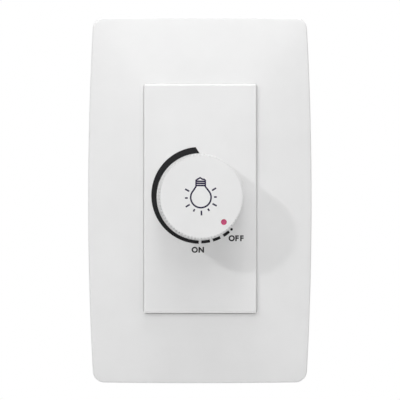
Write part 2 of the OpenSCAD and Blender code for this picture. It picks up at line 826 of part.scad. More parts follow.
module pot_can() {
    notch_w = 2 * lug_pitch + 4 * pin_w + 2 * gap;
    // Each tab meets one side of the rotor's lug at an end of its turn
    tab_a = stop_w / 2 + stop_clear;
    color("lightgray") at(0, knob_up) {
        difference() {
            rod(can_r, can_front_y, can_end_y);
            rod(can_r - can_wall, can_front_y - over, can_end_y - can_wall);
            rod(tongue_r + gap, can_front_y, can_end_y + over);
            block([-notch_w / 2, notch_w / 2], [can_front_y - over, wafer_back_y + gap + pin_t],
                [-2 * can_r, -can_r / 2]);
        }
        for (a = [stop_rest + tab_a, stop_rest - stop_turn - tab_a - stop_w])
            ring_part(rotor_r + gap, can_r - can_wall / 2, rotor_y, rotor_y + rotor_t, a, a + stop_w);
    }
}

module pot_rotor() {
    color("ivory") at(0, knob_up) difference() {
        union() {
            rod(rotor_r, rotor_y, rotor_y + rotor_t);
            ring_part(rotor_r - sink, rotor_r + stop_reach, rotor_y, rotor_y + rotor_t,
                stop_rest - stop_w / 2, stop_rest + stop_w / 2);
            rod(tongue_r + 2 * web_t, rotor_y, can_end_y - can_wall - gap);
        }
        rod(tongue_r + shaft_play, rotor_y - over, can_end_y);
    }
}

module pot_wiper() {
    color("goldenrod") at(0, knob_up) {
        slab(rotor_y - wiper_t, rotor_y) difference() {
            union() {
                circle(shaft_r + gap + web_t);
                for (a = [-wiper_spread, wiper_spread])
                    rotate(a) translate([0, -wiper_w / 2]) square([track_r, wiper_w]);
            }
            circle(shaft_r + slip);
        }
        for (a = [-wiper_spread, wiper_spread]) rotate([0, -a, 0]) translate([track_r - wiper_w / 2, 0, 0])
            rod(wiper_w / 2, wafer_back_y + track_t + seat_gap, rotor_y - wiper_t + seat_gap);
    }
}

module switch_cup() {
    color("dimgray") at(0, knob_up) difference() {
        rod(cup_r, can_end_y, cup_end_y);
        rod(cup_r - cup_wall, can_end_y + cup_wall, cup_end_y + over);
        rod(tongue_r + gap, can_end_y - over, can_end_y + cup_wall + over);
    }
}

module switch_base() {
    color("dimgray") at(0, knob_up) union() {
        rod(cup_r, cup_end_y, cup_end_y + base_t);
        // Step that centres the base in the cup
        rod(cup_r - cup_wall - slip, cup_end_y - base_t / 2, cup_end_y + sink);
    }
}

module switch_cam() {
    color("ivory") at(0, knob_up) slab(cam_y, cam_y + cam_t) difference() {
        union() {
            circle(cam_r);
            translate([lobe_out, 0]) circle(lobe_r);
            translate([0, -lobe_r]) square([lobe_out, 2 * lobe_r]);
        }
        circle(tongue_r + shaft_play);
    }
}

module switch_leaf() {
    x = lobe_out + lobe_r + gap;
    color("goldenrod") at(0, knob_up) {
        block([x, x + wiper_t], [cam_y, cup_end_y - base_t / 2], [-wiper_w, wiper_w]);
        translate([x + wiper_t, cam_y + cam_t / 2, 0]) rotate([0, 90, 0])
            cylinder(r = contact_r, h = contact_t);
    }
}

module switch_anvil() {
    x = lobe_out + lobe_r + gap + wiper_t + contact_t + gap;
    color("goldenrod") at(0, knob_up)
        block([x, x + wiper_t], [cam_y, cup_end_y - base_t / 2], [-wiper_w / 2, wiper_w / 2]);
}

module switch_pins() {
    color("silver") for (x = [-1, 1] * lug_pitch)
        block([x - pin_w / 2, x + pin_w / 2], [cup_end_y + base_t, pin_end_y],
            [knob_up - pin_t / 2, knob_up + pin_t / 2]);
}

module circuit_board() {
    hole = pin_w / 2 + slip;
    color("darkgreen") difference() {
        at(0, panel_up) slab(board_y, board_back_y) round_rect(board_w, board_h, panel_corner_r);
        for (x = [-lug_pitch, 0, lug_pitch])
            at(x, lug_row_z + pin_t / 2) rod(hole, board_y - over, board_back_y + over);
        for (x = [-1, 1] * lug_pitch) at(x, knob_up) rod(hole, board_y - over, board_back_y + over);
        for (p = concat(choke_leads, film_leads, timing_leads, triac_leads, resistor_leads, diac_leads,
            clip_leads, clamp_leads))
            at(p[0], p[1]) rod(lead_hole_r, board_y - over, board_back_y + over);
        for (x = [-post_x, post_x], z = [-post_z, post_z])
            at(x, panel_up + z) rod(board_hole_r, board_y - over, board_back_y + over);
    }
}

module board_screws() {
    color("silver") at(0, panel_up) for (x = [-post_x, post_x], z = [-post_z, post_z]) at(x, z)
        lathe() translate([0, -board_y]) polygon([
            [0, -board_screw_len], [board_screw_r - 2 * slip, -board_screw_len],
            [board_screw_r - 2 * slip, 0], [2 * board_screw_r, 0],
            [2 * board_screw_r, board_screw_r / 2], [board_screw_r, board_screw_r], [0, board_screw_r]
        ]);
}

module leads(places, y0) {
    for (p = places) at(p[0], p[1]) rod(lead_r, y0, pin_end_y);
}

module triac() {
    body_end_y = board_y - triac_lift;
    back_z = sink_top_z - sink_t;
    sides = [-triac_w / 2, triac_w / 2];
    color("darkslategray") {
        difference() {
            union() {
                block(sides, [body_end_y - triac_l, body_end_y], [back_z - triac_h, back_z]);
                block(sides, [sink_front_y, body_end_y - triac_l + sink], [back_z - tab_t, back_z]);
            }
            translate([0, tab_hole_y, back_z - tab_t - over]) cylinder(r = tab_hole_r, h = tab_t + 2 * over);
        }
        leads(triac_leads, body_end_y - sink);
    }
}

// Folded aluminium channel that stands on the board
module heatsink() {
    color("silver") difference() {
        slab(sink_front_y, board_y) polygon([
            [-sink_w / 2, sink_top_z], [sink_w / 2, sink_top_z], [sink_w / 2, sink_low_z],
            [sink_w / 2 - sink_leg_t, sink_low_z], [sink_w / 2 - sink_leg_t, sink_top_z - sink_t],
            [sink_leg_t - sink_w / 2, sink_top_z - sink_t], [sink_leg_t - sink_w / 2, sink_low_z],
            [-sink_w / 2, sink_low_z]
        ]);
        translate([0, tab_hole_y, sink_top_z - sink_t - over])
            cylinder(r = tab_hole_r, h = sink_t + 2 * over);
    }
}

// Screw with its nut, which hold the triac against the heatsink
module heatsink_screw() {
    head_z = sink_top_z - sink_t - tab_t;
    stem_l = sink_top_z + sink_nut_t + sink_stub - head_z + sink;
    color("silver") translate([0, tab_hole_y, 0]) {
        translate([0, 0, head_z - sink_screw_head_t]) cylinder(r = sink_screw_head_r, h = sink_screw_head_t);
        translate([0, 0, head_z - sink]) cylinder(r = sink_screw_r, h = stem_l);
        translate([0, 0, sink_top_z]) cylinder(r = sink_nut_af / sqrt(3), h = sink_nut_t, $fn = 6);
    }
}

module choke_core() {
    color("gold") at(choke_x, choke_z) lathe() translate([choke_r, -choke_y]) circle(core_r);
}

module choke_winding() {
    color("peru") {
        at(choke_x, choke_z) for (i = [0:turn_count - 1]) rotate([0, choke_lead_a + turn_step * i, 0])
            translate([choke_r, choke_y, 0]) rotate_extrude() translate([turn_r, 0]) circle(wire_t);
        for (p = choke_leads) at(p[0], p[1]) rod(choke_lead_r, choke_y - wire_t, pin_end_y);
    }
}

module film_capacitor() {
    color("gold") {
        block([film_x - film_size[0] / 2, film_x + film_size[0] / 2], [board_y - film_size[1], board_y],
            [film_z - film_size[2] / 2, film_z + film_size[2] / 2]);
        leads(film_leads, board_y - sink);
    }
}

module timing_capacitor() {
    color("firebrick") {
        block([-timing_size[0] / 2, timing_size[0] / 2], [board_y - timing_size[1], board_y],
            [timing_z - timing_size[2] / 2, timing_z + timing_size[2] / 2]);
        leads(timing_leads, board_y - sink);
    }
}

// Axial part that lies on the board along Z, with its leads bent back
module axial(x, z, l, r, places) {
    y = board_y - r - slip;
    translate([x, y, z - l / 2]) cylinder(r = r, h = l);
    translate([x, y, places[0][1]]) cylinder(r = lead_r, h = places[1][1] - places[0][1]);
    leads(places, y);
}

module resistors() {
    color("tan") for (i = [0, 1])
        axial(resistor_x, resistor_zs[i], resistor_l, resistor_r,
            [resistor_leads[2 * i], resistor_leads[2 * i + 1]]);
}

module diac() {
    color("orangered") axial(-resistor_x, knob_up, diac_l, diac_r, diac_leads);
}

module fuse_tube() {
    l = fuse_l - 2 * fuse_cap_t - slip;
    color("lightblue") translate([-l / 2, fuse_y, fuse_z]) rotate([0, 90, 0])
        cylinder(r = fuse_r - fuse_cap_t - seat_gap, h = l);
}

module fuse_caps() {
    color("silver") both_sides() translate([fuse_l / 2 - fuse_cap_l, fuse_y, fuse_z]) rotate([0, 90, 0])
        difference() {
            cylinder(r = fuse_r, h = fuse_cap_l);
            translate([0, 0, -over]) cylinder(r = fuse_r - fuse_cap_t, h = fuse_cap_l - fuse_cap_t + over);
        }
}

module fuse_clips() {
    in_r = fuse_r + seat_gap;
    color("silver") both_sides() {
        difference() {
            union() {
                translate([clip_x - clip_w / 2, fuse_y, fuse_z]) rotate([0, 90, 0])
                    cylinder(r = in_r + clip_t, h = clip_w);
                block([clip_x - clip_w / 2, clip_x + clip_w / 2], [fuse_y, board_y],
                    [fuse_z - fuse_r / 2, fuse_z + fuse_r / 2]);
            }
            translate([clip_x - clip_w, fuse_y, fuse_z]) rotate([0, 90, 0])
                cylinder(r = in_r, h = 2 * clip_w);
            block([clip_x - clip_w, clip_x + clip_w], [fuse_y - 2 * fuse_r, fuse_y - fuse_r / 2],
                [fuse_z - 2 * fuse_r, fuse_z + 2 * fuse_r]);
        }
        leads([clip_leads[1]], board_y - sink);
    }
}

module terminal_clamps() {
    y0 = clamp_mid_y - clamp_l / 2;
    low_z = clamp_top_z - clamp_h;
    color("gold") for (x = [-clamp_x, clamp_x]) {
        difference() {
            block([x - clamp_w / 2, x + clamp_w / 2], [y0, y0 + clamp_l], [low_z, clamp_top_z]);
            at(x, wire_z) rod(wire_r, y0 + clamp_floor, y0 + clamp_l + over);
            translate([x, clamp_mid_y, low_z - over]) cylinder(r = set_hole_r, h = wire_z - low_z + over);
        }
        at(x, wire_z) rod(lead_r, board_y - solder_l, y0 + sink);
    }
}

module terminal_screws() {
    tip_z = wire_z - wire_r - slip;
    head_z = clamp_top_z - clamp_h - set_lift;
    color("silver") for (x = [-clamp_x, clamp_x]) translate([x, clamp_mid_y, 0]) difference() {
        union() {
            translate([0, 0, head_z - sink]) cylinder(r = set_screw_r, h = tip_z - head_z + sink);
            translate([0, 0, head_z - set_head_t]) cylinder(r = set_head_r, h = set_head_t);
        }
        block([-set_head_r - over, set_head_r + over], [-recess_w / 2, recess_w / 2],
            [head_z - set_head_t - over, head_z - set_head_t / 2]);
    }
}

cover_plate();
front_panel();
mounting_frame();
rear_housing();
box_screws();
knob();
knob_dot();
scale_print();
knob_spring();
pot_shaft();
pot_bushing();
lock_washer();
bushing_nut();
pot_wafer();
resistor_track();
pot_lugs();
pot_can();
pot_rotor();
pot_wiper();
switch_cup();
switch_base();
switch_cam();
switch_leaf();
switch_anvil();
switch_pins();
circuit_board();
board_screws();
triac();
heatsink();
heatsink_screw();
choke_core();
choke_winding();
film_capacitor();
timing_capacitor();
resistors();
diac();
fuse_tube();
fuse_caps();
fuse_clips();
terminal_clamps();
terminal_screws();
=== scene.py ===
"""Looks of a rotary dimmer switch: moulded covers, ribbed knob, printed scale and the parts inside."""

import json
import math

import bmesh
import bpy
from mathutils import Matrix, Vector


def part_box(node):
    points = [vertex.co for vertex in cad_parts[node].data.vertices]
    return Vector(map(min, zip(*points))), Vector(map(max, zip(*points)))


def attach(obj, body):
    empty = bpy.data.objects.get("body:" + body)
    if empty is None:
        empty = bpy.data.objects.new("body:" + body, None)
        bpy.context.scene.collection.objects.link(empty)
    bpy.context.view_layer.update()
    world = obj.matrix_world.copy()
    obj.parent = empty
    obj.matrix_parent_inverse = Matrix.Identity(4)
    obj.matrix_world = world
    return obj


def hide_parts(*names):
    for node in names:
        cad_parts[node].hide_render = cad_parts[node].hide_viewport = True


bl_info = {
    "name": "Rotary dimmer switch",
    "version": (1, 0, 0),
    "blender": (4, 5, 0),
    "location": "3D View > Sidebar > Dimmer",
    "description": "Models and finishes the pieces of a rotary dimmer switch",
    "category": "Object",
}

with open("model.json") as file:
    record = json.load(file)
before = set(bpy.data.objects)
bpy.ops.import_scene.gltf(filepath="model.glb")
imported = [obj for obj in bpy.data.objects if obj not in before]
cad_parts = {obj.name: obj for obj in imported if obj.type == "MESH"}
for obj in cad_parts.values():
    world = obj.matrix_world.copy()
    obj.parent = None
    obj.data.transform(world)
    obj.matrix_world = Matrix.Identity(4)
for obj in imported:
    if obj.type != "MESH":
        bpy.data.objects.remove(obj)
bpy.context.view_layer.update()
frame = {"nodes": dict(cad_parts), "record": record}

MM = 0.001
FORWARD = Vector((0, -1, 0))
AXIS = Vector((0, 1, 0))
# A slanted direction, along which no two places of a piece come level
SORTING = Vector((1, 0.618, 0.325))
# Distance within which vertices are one, angle past which an edge stays sharp, angle that counts as flat
MERGE = 0.002 * MM
SHARP = math.radians(32)
FLAT = math.radians(0.5)
# Steps round a small circle
CIRCLE_STEPS = 48


def box_size(node, axis):
    """Length of a CAD node's box along one axis, in metres."""
    low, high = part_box(node)
    return high[axis] - low[axis]


def box_middle(node, axis):
    """Middle of a CAD node's box along one axis, in metres."""
    low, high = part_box(node)
    return (high[axis] + low[axis]) / 2


def length(name, description, millimetres):
    """A length property whose default is given in millimetres."""
    return bpy.props.FloatProperty(name=name, description=description, default=millimetres * MM,
                                   min=0, unit="LENGTH", precision=5)


def power(name, description, watts):
    """The power of a lamp."""
    return bpy.props.FloatProperty(name=name, description=description, default=watts, min=0, unit="POWER")


def colour(name, description, value):
    """A colour property whose default is the colour as seen, from 0 to 1 in each channel."""
    return bpy.props.FloatVectorProperty(name=name, description=description, default=value,
                                         size=3, min=0, max=1, subtype="COLOR_GAMMA")


class PlateSettings(bpy.types.PropertyGroup):
    """Sizes of the crowned cover plate that its box doesn't give."""

    crown_drop: length("Crown drop", "How much lower the crown is at the edge than in the middle", 2.8)
    blend: bpy.props.IntProperty(name="Blend", description="Sharpness of the ridges between the crowns",
                                 default=5, min=2)
    side_bow: length("Side bow", "How far each long side bulges past the corners", 1.7)
    end_bow: length("End bow", "How far each short side bulges past the corners", 0.3)
    corner: length("Corner radius", "Radius of the plate's corners", 3.8)
    roll: length("Edge roll", "Radius of the rolled front edge", 0.5)
    wall: length("Wall", "Thickness of the cover", 2.0)
    depth: length("Depth", "Distance of the crown's apex from the wall", 9.0)
    window_gap: length("Window gap", "Gap between the window and each side of the module face", 0.08)
    window_aside: length("Window aside", "How far the window sits to the right of the face", 0.04)
    window_head: length("Head gap", "Gap between the window and the top of the module face", 0.02)
    window_foot: length("Foot gap", "Gap between the window and the foot of the module face", 0.3)
    window_edge: length("Window edge", "Radius of the window's front edge", 0.25)
    claw_width: length("Claw width", "Width of each snap claw", 8.0)
    claw_at: length("Claw place", "Distance of the claws from the plate's middle, up and down", 28.0)


class PanelSettings(bpy.types.PropertyGroup):
    """Sizes of the raised module face."""

    width: length("Width", "Width of the raised face", 36.3)
    height: length("Height", "Height of the raised face", 73.5)
    up: length("Offset", "Height of the face's middle above the plate's middle", 0.5)
    corner: length("Corner radius", "Corner radius of the raised face", 0.8)
    soft_edge: length("Soft edge", "Radius left by the mould on each edge", 0.14)


class KnobSettings(bpy.types.PropertyGroup):
    """Sizes of the ribbed knob."""

    ribs: bpy.props.IntProperty(name="Ribs", description="Number of ribs round the knob",
                                default=78, min=12)
    rib_depth: length("Rib depth", "Depth of the grooves between the ribs", 0.65)
    edge: length("Edge radius", "Radius of the rounded front edge", 0.3)
    wall: length("Wall", "Thickness of the knob's skirt", 1.6)
    face: length("Face", "Thickness of the knob's face", 2.0)
    hub: length("Hub radius", "Radius of the hub", 5.2)
    hub_depth: length("Hub depth", "Distance from the knob's face to the hub's end", 8.1)
    bore: length("Bore radius", "Radius of the D bore", 3.15)
    bore_flat: length("Bore flat", "Distance of the bore's flat from the axis", 1.95)
    dot: length("Dot radius", "Radius of the red mark", 0.95)
    dot_reach: length("Dot reach", "Distance of the red mark from the axis", 10.8)
    dot_angle: bpy.props.FloatProperty(name="Dot angle", default=math.radians(-48), subtype="ANGLE",
                                       description="Angle of the red mark from +X, switched off")


class PrintSettings(bpy.types.PropertyGroup):
    """Sizes of the printed words and of the lamp sign."""

    letter_height: length("Letter height", "Height of the words' capitals", 1.75)
    ink: length("Ink", "Thickness of the printed ink", 0.04)
    stroke: length("Stroke", "Width of the lamp sign's lines", 0.54)
    bulb_radius: length("Bulb radius", "Radius of the lamp sign's bulb", 3.25)
    ray_start: length("Ray start", "Distance of the rays' inner ends from the bulb's middle", 4.2)
    long_ray: length("Long ray", "Length of the long rays", 1.5)
    short_ray: length("Short ray", "Length of the short rays", 0.85)
    rays: bpy.props.IntProperty(name="Rays", description="Number of rays round the bulb",
                                default=9, min=3)


class FinishSettings(bpy.types.PropertyGroup):
    """Colours of the finishes, as they are seen."""

    cover: colour("Cover", "Moulded cover plate", (0.925, 0.925, 0.925))
    panel: colour("Module face", "Moulded module face", (0.93, 0.93, 0.93))
    knob: colour("Knob", "Moulded knob", (0.93, 0.93, 0.93))
    carrier: colour("Carrier", "Moulded mounting frame", (0.9, 0.9, 0.88))
    housing: colour("Housing", "Moulded rear housing", (0.88, 0.88, 0.87))
    ink: colour("Ink", "Dark printing ink", (0.07, 0.07, 0.08))
    sign_ink: colour("Sign ink", "Dark ink of the lamp sign", (0.15, 0.125, 0.235))
    red: colour("Red mark", "Paint of the knob's mark", (0.785, 0.265, 0.45))


class StageSettings(bpy.types.PropertyGroup):
    """Camera and lights."""

    distance: length("Distance", "Distance of the camera from the plate", 1600.0)
    field: length("Field", "Height of the view at the plate", 128.8)
    azimuth: bpy.props.FloatProperty(name="Azimuth", description="Turn of the camera round the plate",
                                     default=math.radians(-1.3), subtype="ANGLE")
    key: power("Key light", "Power of the large lamp before the plate", 0.5)
    top: power("Top light", "Power of the lamp above the plate", 1.12)
    side: power("Side light", "Power of the small lamp at the left", 1.9)
    fill: power("Fill light", "Power of the weak lamp at the right", 0.48)
    ambient: bpy.props.FloatProperty(name="Ambient", description="Strength of the light from all round",
                                     default=0.28, min=0, subtype="FACTOR")
    floor: colour("Floor", "Pale floor", (0.93, 0.93, 0.93))


SETTINGS = (
    ("dimmer_plate", PlateSettings), ("dimmer_panel", PanelSettings), ("dimmer_knob", KnobSettings),
    ("dimmer_print", PrintSettings), ("dimmer_finish", FinishSettings), ("dimmer_stage", StageSettings),
)


def seen(rgb):
    """A colour as seen, turned into the linear values that a shader takes."""
    return [c / 12.92 if c <= 0.04045 else ((c + 0.055) / 1.055) ** 2.4 for c in rgb]


def darker(rgb, share):
    """A colour as seen with its channels scaled."""
    return [c * share for c in rgb]


class Finish:
    """A material under construction. Its patterns lie on the piece's own coordinates, in millimetres."""

    def __init__(self, name, rgb, roughness, metallic=0.0, **sockets):
        self.rgb, self.roughness = rgb, roughness
        self.material = bpy.data.materials.new(name)
        self.material.use_nodes = True
        self.tree = self.material.node_tree
        self.surface = self.tree.nodes["Principled BSDF"]
        self.material.diffuse_color = (*seen(rgb), 1)
        self.surface.inputs["Base Color"].default_value = (*seen(rgb), 1)
        self.surface.inputs["Roughness"].default_value = roughness
        self.surface.inputs["Metallic"].default_value = metallic
        for socket, value in sockets.items():
            self.surface.inputs[socket.replace("_", " ")].default_value = value
        coordinates = self.tree.nodes.new("ShaderNodeTexCoord")
        self.millimetres = self.node("ShaderNodeMapping", {"Vector": coordinates.outputs["Object"]})
        self.millimetres.inputs["Scale"].default_value = (1 / MM, 1 / MM, 1 / MM)
        self.place = self.millimetres.outputs["Vector"]

    def node(self, kind, inputs, **settings):
        """Adds a shader node, with values or other nodes' sockets on its inputs."""
        made = self.tree.nodes.new(kind)
        for key, value in settings.items():
            setattr(made, key, value)
        for key, value in inputs.items():
            if isinstance(value, bpy.types.NodeSocket):
                self.tree.links.new(value, made.inputs[key])
            else:
                made.inputs[key].default_value = value
        return made

    def moved(self, centre=(0, 0, 0), stretch=(1, 1, 1)):
        """Coordinates counted from a centre in millimetres, squeezed along each axis."""
        centred = self.node("ShaderNodeVectorMath", {0: self.place, 1: centre}, operation="SUBTRACT")
        inputs = {0: centred.outputs[0], 1: stretch}
        return self.node("ShaderNodeVectorMath", inputs, operation="MULTIPLY").outputs[0]

    def noise(self, grain, detail=2.0, place=None):
        """Cloudy pattern with grains of about that many millimetres."""
        inputs = {"Vector": place or self.place, "Scale": 1 / grain, "Detail": detail}
        return self.node("ShaderNodeTexNoise", inputs).outputs["Fac"]

    def cells(self, size):
        """Distance pattern of cells of about that many millimetres."""
        inputs = {"Vector": self.place, "Scale": 1 / size}
        return self.node("ShaderNodeTexVoronoi", inputs).outputs["Distance"]

    def rings(self, pitch, centre):
        """Turning marks: fine rings round the Y axis through a centre."""
        # The wave texture draws a ring every twentieth of its scale
        ring_scale = 0.05 / pitch
        inputs = {"Vector": self.moved(centre), "Scale": ring_scale, "Distortion": 0.6, "Detail": 1.0}
        made = self.node("ShaderNodeTexWave", inputs, wave_type="RINGS", rings_direction="Y")
        return made.outputs["Fac"]

    def spread(self, value, low, high, new_low, new_high):
        """Maps one range of values onto another."""
        inputs = {"Value": value, "From Min": low, "From Max": high,
                  "To Min": new_low, "To Max": new_high}
        return self.node("ShaderNodeMapRange", inputs).outputs["Result"]

    def sums(self, operation, a, b=0.0):
        """One step of arithmetic on values."""
        return self.node("ShaderNodeMath", {0: a, 1: b}, operation=operation).outputs[0]

    def mixed(self, factor, first, second):
        """Blends two colours, given as seen or as sockets."""
        made = self.node("ShaderNodeMix", {0: factor}, data_type="RGBA")
        # A colour mix has its two colours at these sockets and its result at the next
        first_socket, second_socket, result = 6, 7, 2
        for slot_index, value in ((first_socket, first), (second_socket, second)):
            if isinstance(value, bpy.types.NodeSocket):
                self.tree.links.new(value, made.inputs[slot_index])
            else:
                made.inputs[slot_index].default_value = (*seen(value), 1)
        return made.outputs[result]

    def coloured(self, socket):
        """Puts a pattern on the surface's colour."""
        self.tree.links.new(socket, self.surface.inputs["Base Color"])

    def roughened(self, socket):
        """Puts a pattern on the surface's roughness."""
        self.tree.links.new(socket, self.surface.inputs["Roughness"])

    def clouds(self, pattern, low, high, shade):
        """The surface's colour, scaled by a shade where the pattern is low and full where it is high."""
        return self.mixed(self.spread(pattern, low, high, 0, 1), darker(self.rgb, shade), self.rgb)

    def glossed(self, pattern, low, high, less, more):
        """Roughness that goes from less to more than the surface's own as the pattern rises."""
        self.roughened(self.spread(pattern, low, high, self.roughness - less, self.roughness + more))

    def bumped(self, height, depth, strength=1.0):
        """Relief whose full height is the depth in millimetres."""
        inputs = {"Height": height, "Distance": depth * MM, "Strength": strength}
        if self.surface.inputs["Normal"].is_linked:
            inputs["Normal"] = self.surface.inputs["Normal"].links[0].from_socket
        relief = self.node("ShaderNodeBump", inputs)
        self.tree.links.new(relief.outputs["Normal"], self.surface.inputs["Normal"])


def moulded_plastic(name, rgb, roughness=0.38, grain=0.22, relief=0.004):
    """White moulded plastic: spark-eroded grain, faint flow clouds and a satin gloss."""
    finish = Finish(name, rgb, roughness, IOR=1.49)
    finish.coloured(finish.clouds(finish.noise(14, 3), 0.3, 0.7, shade=0.985))
    finish.glossed(finish.noise(3.2, 4), 0.3, 0.7, less=0.05, more=0.06)
    finish.bumped(finish.noise(grain, 3), relief)
    return finish.material


def printed_ink(name, rgb):
    """Pad-printed ink: a thin film with pinholes and a slightly dusty gloss."""
    finish = Finish(name, rgb, 0.5, IOR=1.5, Specular_IOR_Level=0.25)
    pinholes = finish.spread(finish.cells(0.16), 0.02, 0.10, 1, 0)
    finish.coloured(finish.mixed(finish.sums("MULTIPLY", pinholes, 0.35), rgb, (0.55, 0.55, 0.56)))
    finish.roughened(finish.spread(finish.noise(0.3, 3), 0.3, 0.7, 0.42, 0.6))
    finish.bumped(finish.noise(0.12, 2), 0.003)
    return finish.material


def mark_paint(name, rgb):
    """Filled-in paint of the knob's mark: glossy, with slow ripples and settled pigment."""
    finish = Finish(name, rgb, 0.25, IOR=1.5, Coat_Weight=0.3)
    finish.coloured(finish.clouds(finish.noise(0.7, 3), 0.35, 0.7, shade=0.88))
    finish.bumped(finish.noise(0.5, 2), 0.01)
    return finish.material


def plated_steel(name, rgb, blotch=1.6, roughness=0.32):
    """Zinc or tin plating: blotchy lustre, fine scratches and dull spots."""
    finish = Finish(name, rgb, roughness, metallic=1.0)
    lustre = finish.noise(blotch, 5)
    spangle = finish.cells(blotch * 0.8)
    finish.coloured(finish.clouds(lustre, 0.3, 0.72, shade=0.82))
    finish.glossed(spangle, 0.0, 0.9, less=0.08, more=0.18)
    scratches = finish.noise(0.18, 2, finish.moved(stretch=(1, 0.08, 1)))
    finish.bumped(scratches, 0.004, strength=0.6)
    return finish.material


def turned_metal(name, rgb, centre):
    """Turned metal: fine tool rings round its axis and a soft streaked lustre."""
    finish = Finish(name, rgb, 0.28, metallic=1.0)
    marks = finish.rings(0.12, centre)
    finish.coloured(finish.mixed(finish.noise(0.9, 4), darker(rgb, 0.86), rgb))
    finish.glossed(marks, 0, 1, less=0.06, more=0.12)
    finish.bumped(marks, 0.004, strength=0.7)
    return finish.material


def sheet_metal(name, rgb, roughness=0.3, along=(1, 0.06, 1)):
    """Rolled sheet metal: brushed streaks along the rolling direction and darker tarnish."""
    finish = Finish(name, rgb, roughness, metallic=1.0)
    streaks = finish.noise(0.14, 4, finish.moved(stretch=along))
    tarnish = finish.spread(finish.noise(2.4, 4), 0.42, 0.75, 0, 0.8)
    finish.coloured(finish.mixed(tarnish, rgb, darker(rgb, 0.72)))
    finish.glossed(streaks, 0.3, 0.7, less=0.08, more=0.14)
    finish.bumped(streaks, 0.004, strength=0.5)
    return finish.material


def cast_metal(name, rgb):
    """Bare die casting: orange-peel skin, flow lines and dull grey pores."""
    finish = Finish(name, rgb, 0.42, metallic=0.9)
    flow = finish.noise(1.1, 5, finish.moved(stretch=(1, 0.4, 1)))
    pores = finish.spread(finish.cells(0.5), 0.02, 0.16, 1, 0)
    finish.coloured(finish.mixed(finish.sums("MAXIMUM", pores, finish.spread(flow, 0.55, 0.8, 0, 0.7)),
                                 rgb, darker(rgb, 0.62)))
    finish.roughened(finish.spread(flow, 0.3, 0.7, 0.36, 0.56))
    finish.bumped(finish.noise(0.35, 3), 0.012)
    return finish.material


def pressed_paper(name, rgb):
    """Phenolic laminate: brown resin with paper fibres in layers."""
    finish = Finish(name, rgb, 0.48, IOR=1.55)
    fibres = finish.noise(0.5, 6, finish.moved(stretch=(0.25, 1, 1)))
    finish.coloured(finish.clouds(fibres, 0.32, 0.68, shade=0.7))
    finish.bumped(fibres, 0.01, strength=0.7)
    return finish.material


def carbon_film(name, rgb):
    """Screen-printed carbon: matt black with fine grit and a few polished streaks."""
    finish = Finish(name, rgb, 0.62, IOR=1.6)
    grit = finish.noise(0.09, 4)
    finish.coloured(finish.mixed(finish.spread(grit, 0.4, 0.75, 0, 1), rgb, (0.3, 0.3, 0.31)))
    finish.roughened(finish.spread(finish.noise(0.6, 2), 0.35, 0.65, 0.45, 0.75))
    finish.bumped(grit, 0.008)
    return finish.material


def filled_plastic(name, rgb):
    """Technical plastic: glass-filled, with short fibres near the skin and a dull sheen."""
    finish = Finish(name, rgb, 0.45, IOR=1.54)
    fibres = finish.noise(0.35, 5, finish.moved(stretch=(1, 0.3, 0.6)))
    bare_fibre = [min(1, c + 0.1) for c in rgb]
    finish.coloured(finish.mixed(finish.spread(fibres, 0.45, 0.75, 0, 0.5), rgb, bare_fibre))
    finish.glossed(fibres, 0.3, 0.7, less=0.08, more=0.1)
    finish.bumped(finish.noise(0.16, 3), 0.008)
    return finish.material


def solder_mask(name, rgb):
    """Circuit board: green lacquer over copper tracks, with tinned rings on a grid of pads."""
    finish = Finish(name, rgb, 0.34, IOR=1.5)
    # The tracks lie in the board's plane, so the pattern is turned upright
    turned = finish.node("ShaderNodeMapping", {"Vector": finish.place})
    turned.inputs["Rotation"].default_value = (math.radians(90), 0, 0)
    tracks = finish.node("ShaderNodeTexBrick", {
        "Vector": turned.outputs["Vector"], "Scale": 0.35, "Mortar Size": 0.11, "Mortar Smooth": 0.1,
        "Bias": 0.0, "Brick Width": 1.1, "Row Height": 0.62})
    copper = tracks.outputs["Fac"]
    weave = finish.noise(0.3, 2, finish.moved(stretch=(1, 1, 0.2)))
    lacquer = finish.mixed(finish.spread(weave, 0.3, 0.7, 0, 0.5), rgb, darker(rgb, 0.8))
    finish.coloured(finish.mixed(finish.sums("MULTIPLY", copper, 0.75), lacquer, (0.25, 0.50, 0.26)))
    finish.bumped(copper, 0.03, strength=0.8)
    finish.bumped(weave, 0.004, strength=0.5)
    return finish.material


def painted_core(name, rgb):
    """Iron-powder ring: epoxy paint with runs and a slightly lumpy skin."""
    finish = Finish(name, rgb, 0.36, IOR=1.52)
    lumps = finish.noise(0.8, 4)
    finish.coloured(finish.clouds(lumps, 0.35, 0.7, shade=0.8))
    finish.bumped(lumps, 0.05, strength=0.8)
    return finish.material


def enamelled_wire(name, rgb):
    """Enamelled copper wire: clear amber coat over drawn copper, darker where it was heated."""
    finish = Finish(name, rgb, 0.3, metallic=0.85, Coat_Weight=0.6)
    burnt = finish.spread(finish.noise(1.4, 3), 0.5, 0.8, 0, 1)
    finish.coloured(finish.mixed(burnt, rgb, darker(rgb, 0.5)))
    finish.roughened(finish.spread(finish.noise(0.25, 3), 0.3, 0.7, 0.22, 0.4))
    return finish.material


def dipped_resin(name, rgb):
    """Dipped or cast resin of a capacitor: glossy, with sags and pale dust."""
    finish = Finish(name, rgb, 0.28, IOR=1.52)
    sags = finish.noise(2.2, 4)
    dust = finish.spread(finish.cells(0.45), 0.02, 0.07, 1, 0)
    body = finish.clouds(sags, 0.35, 0.7, shade=0.86)
    finish.coloured(finish.mixed(finish.sums("MULTIPLY", dust, 0.3), body, (0.95, 0.9, 0.8)))
    finish.bumped(sags, 0.05, strength=0.6)
    return finish.material


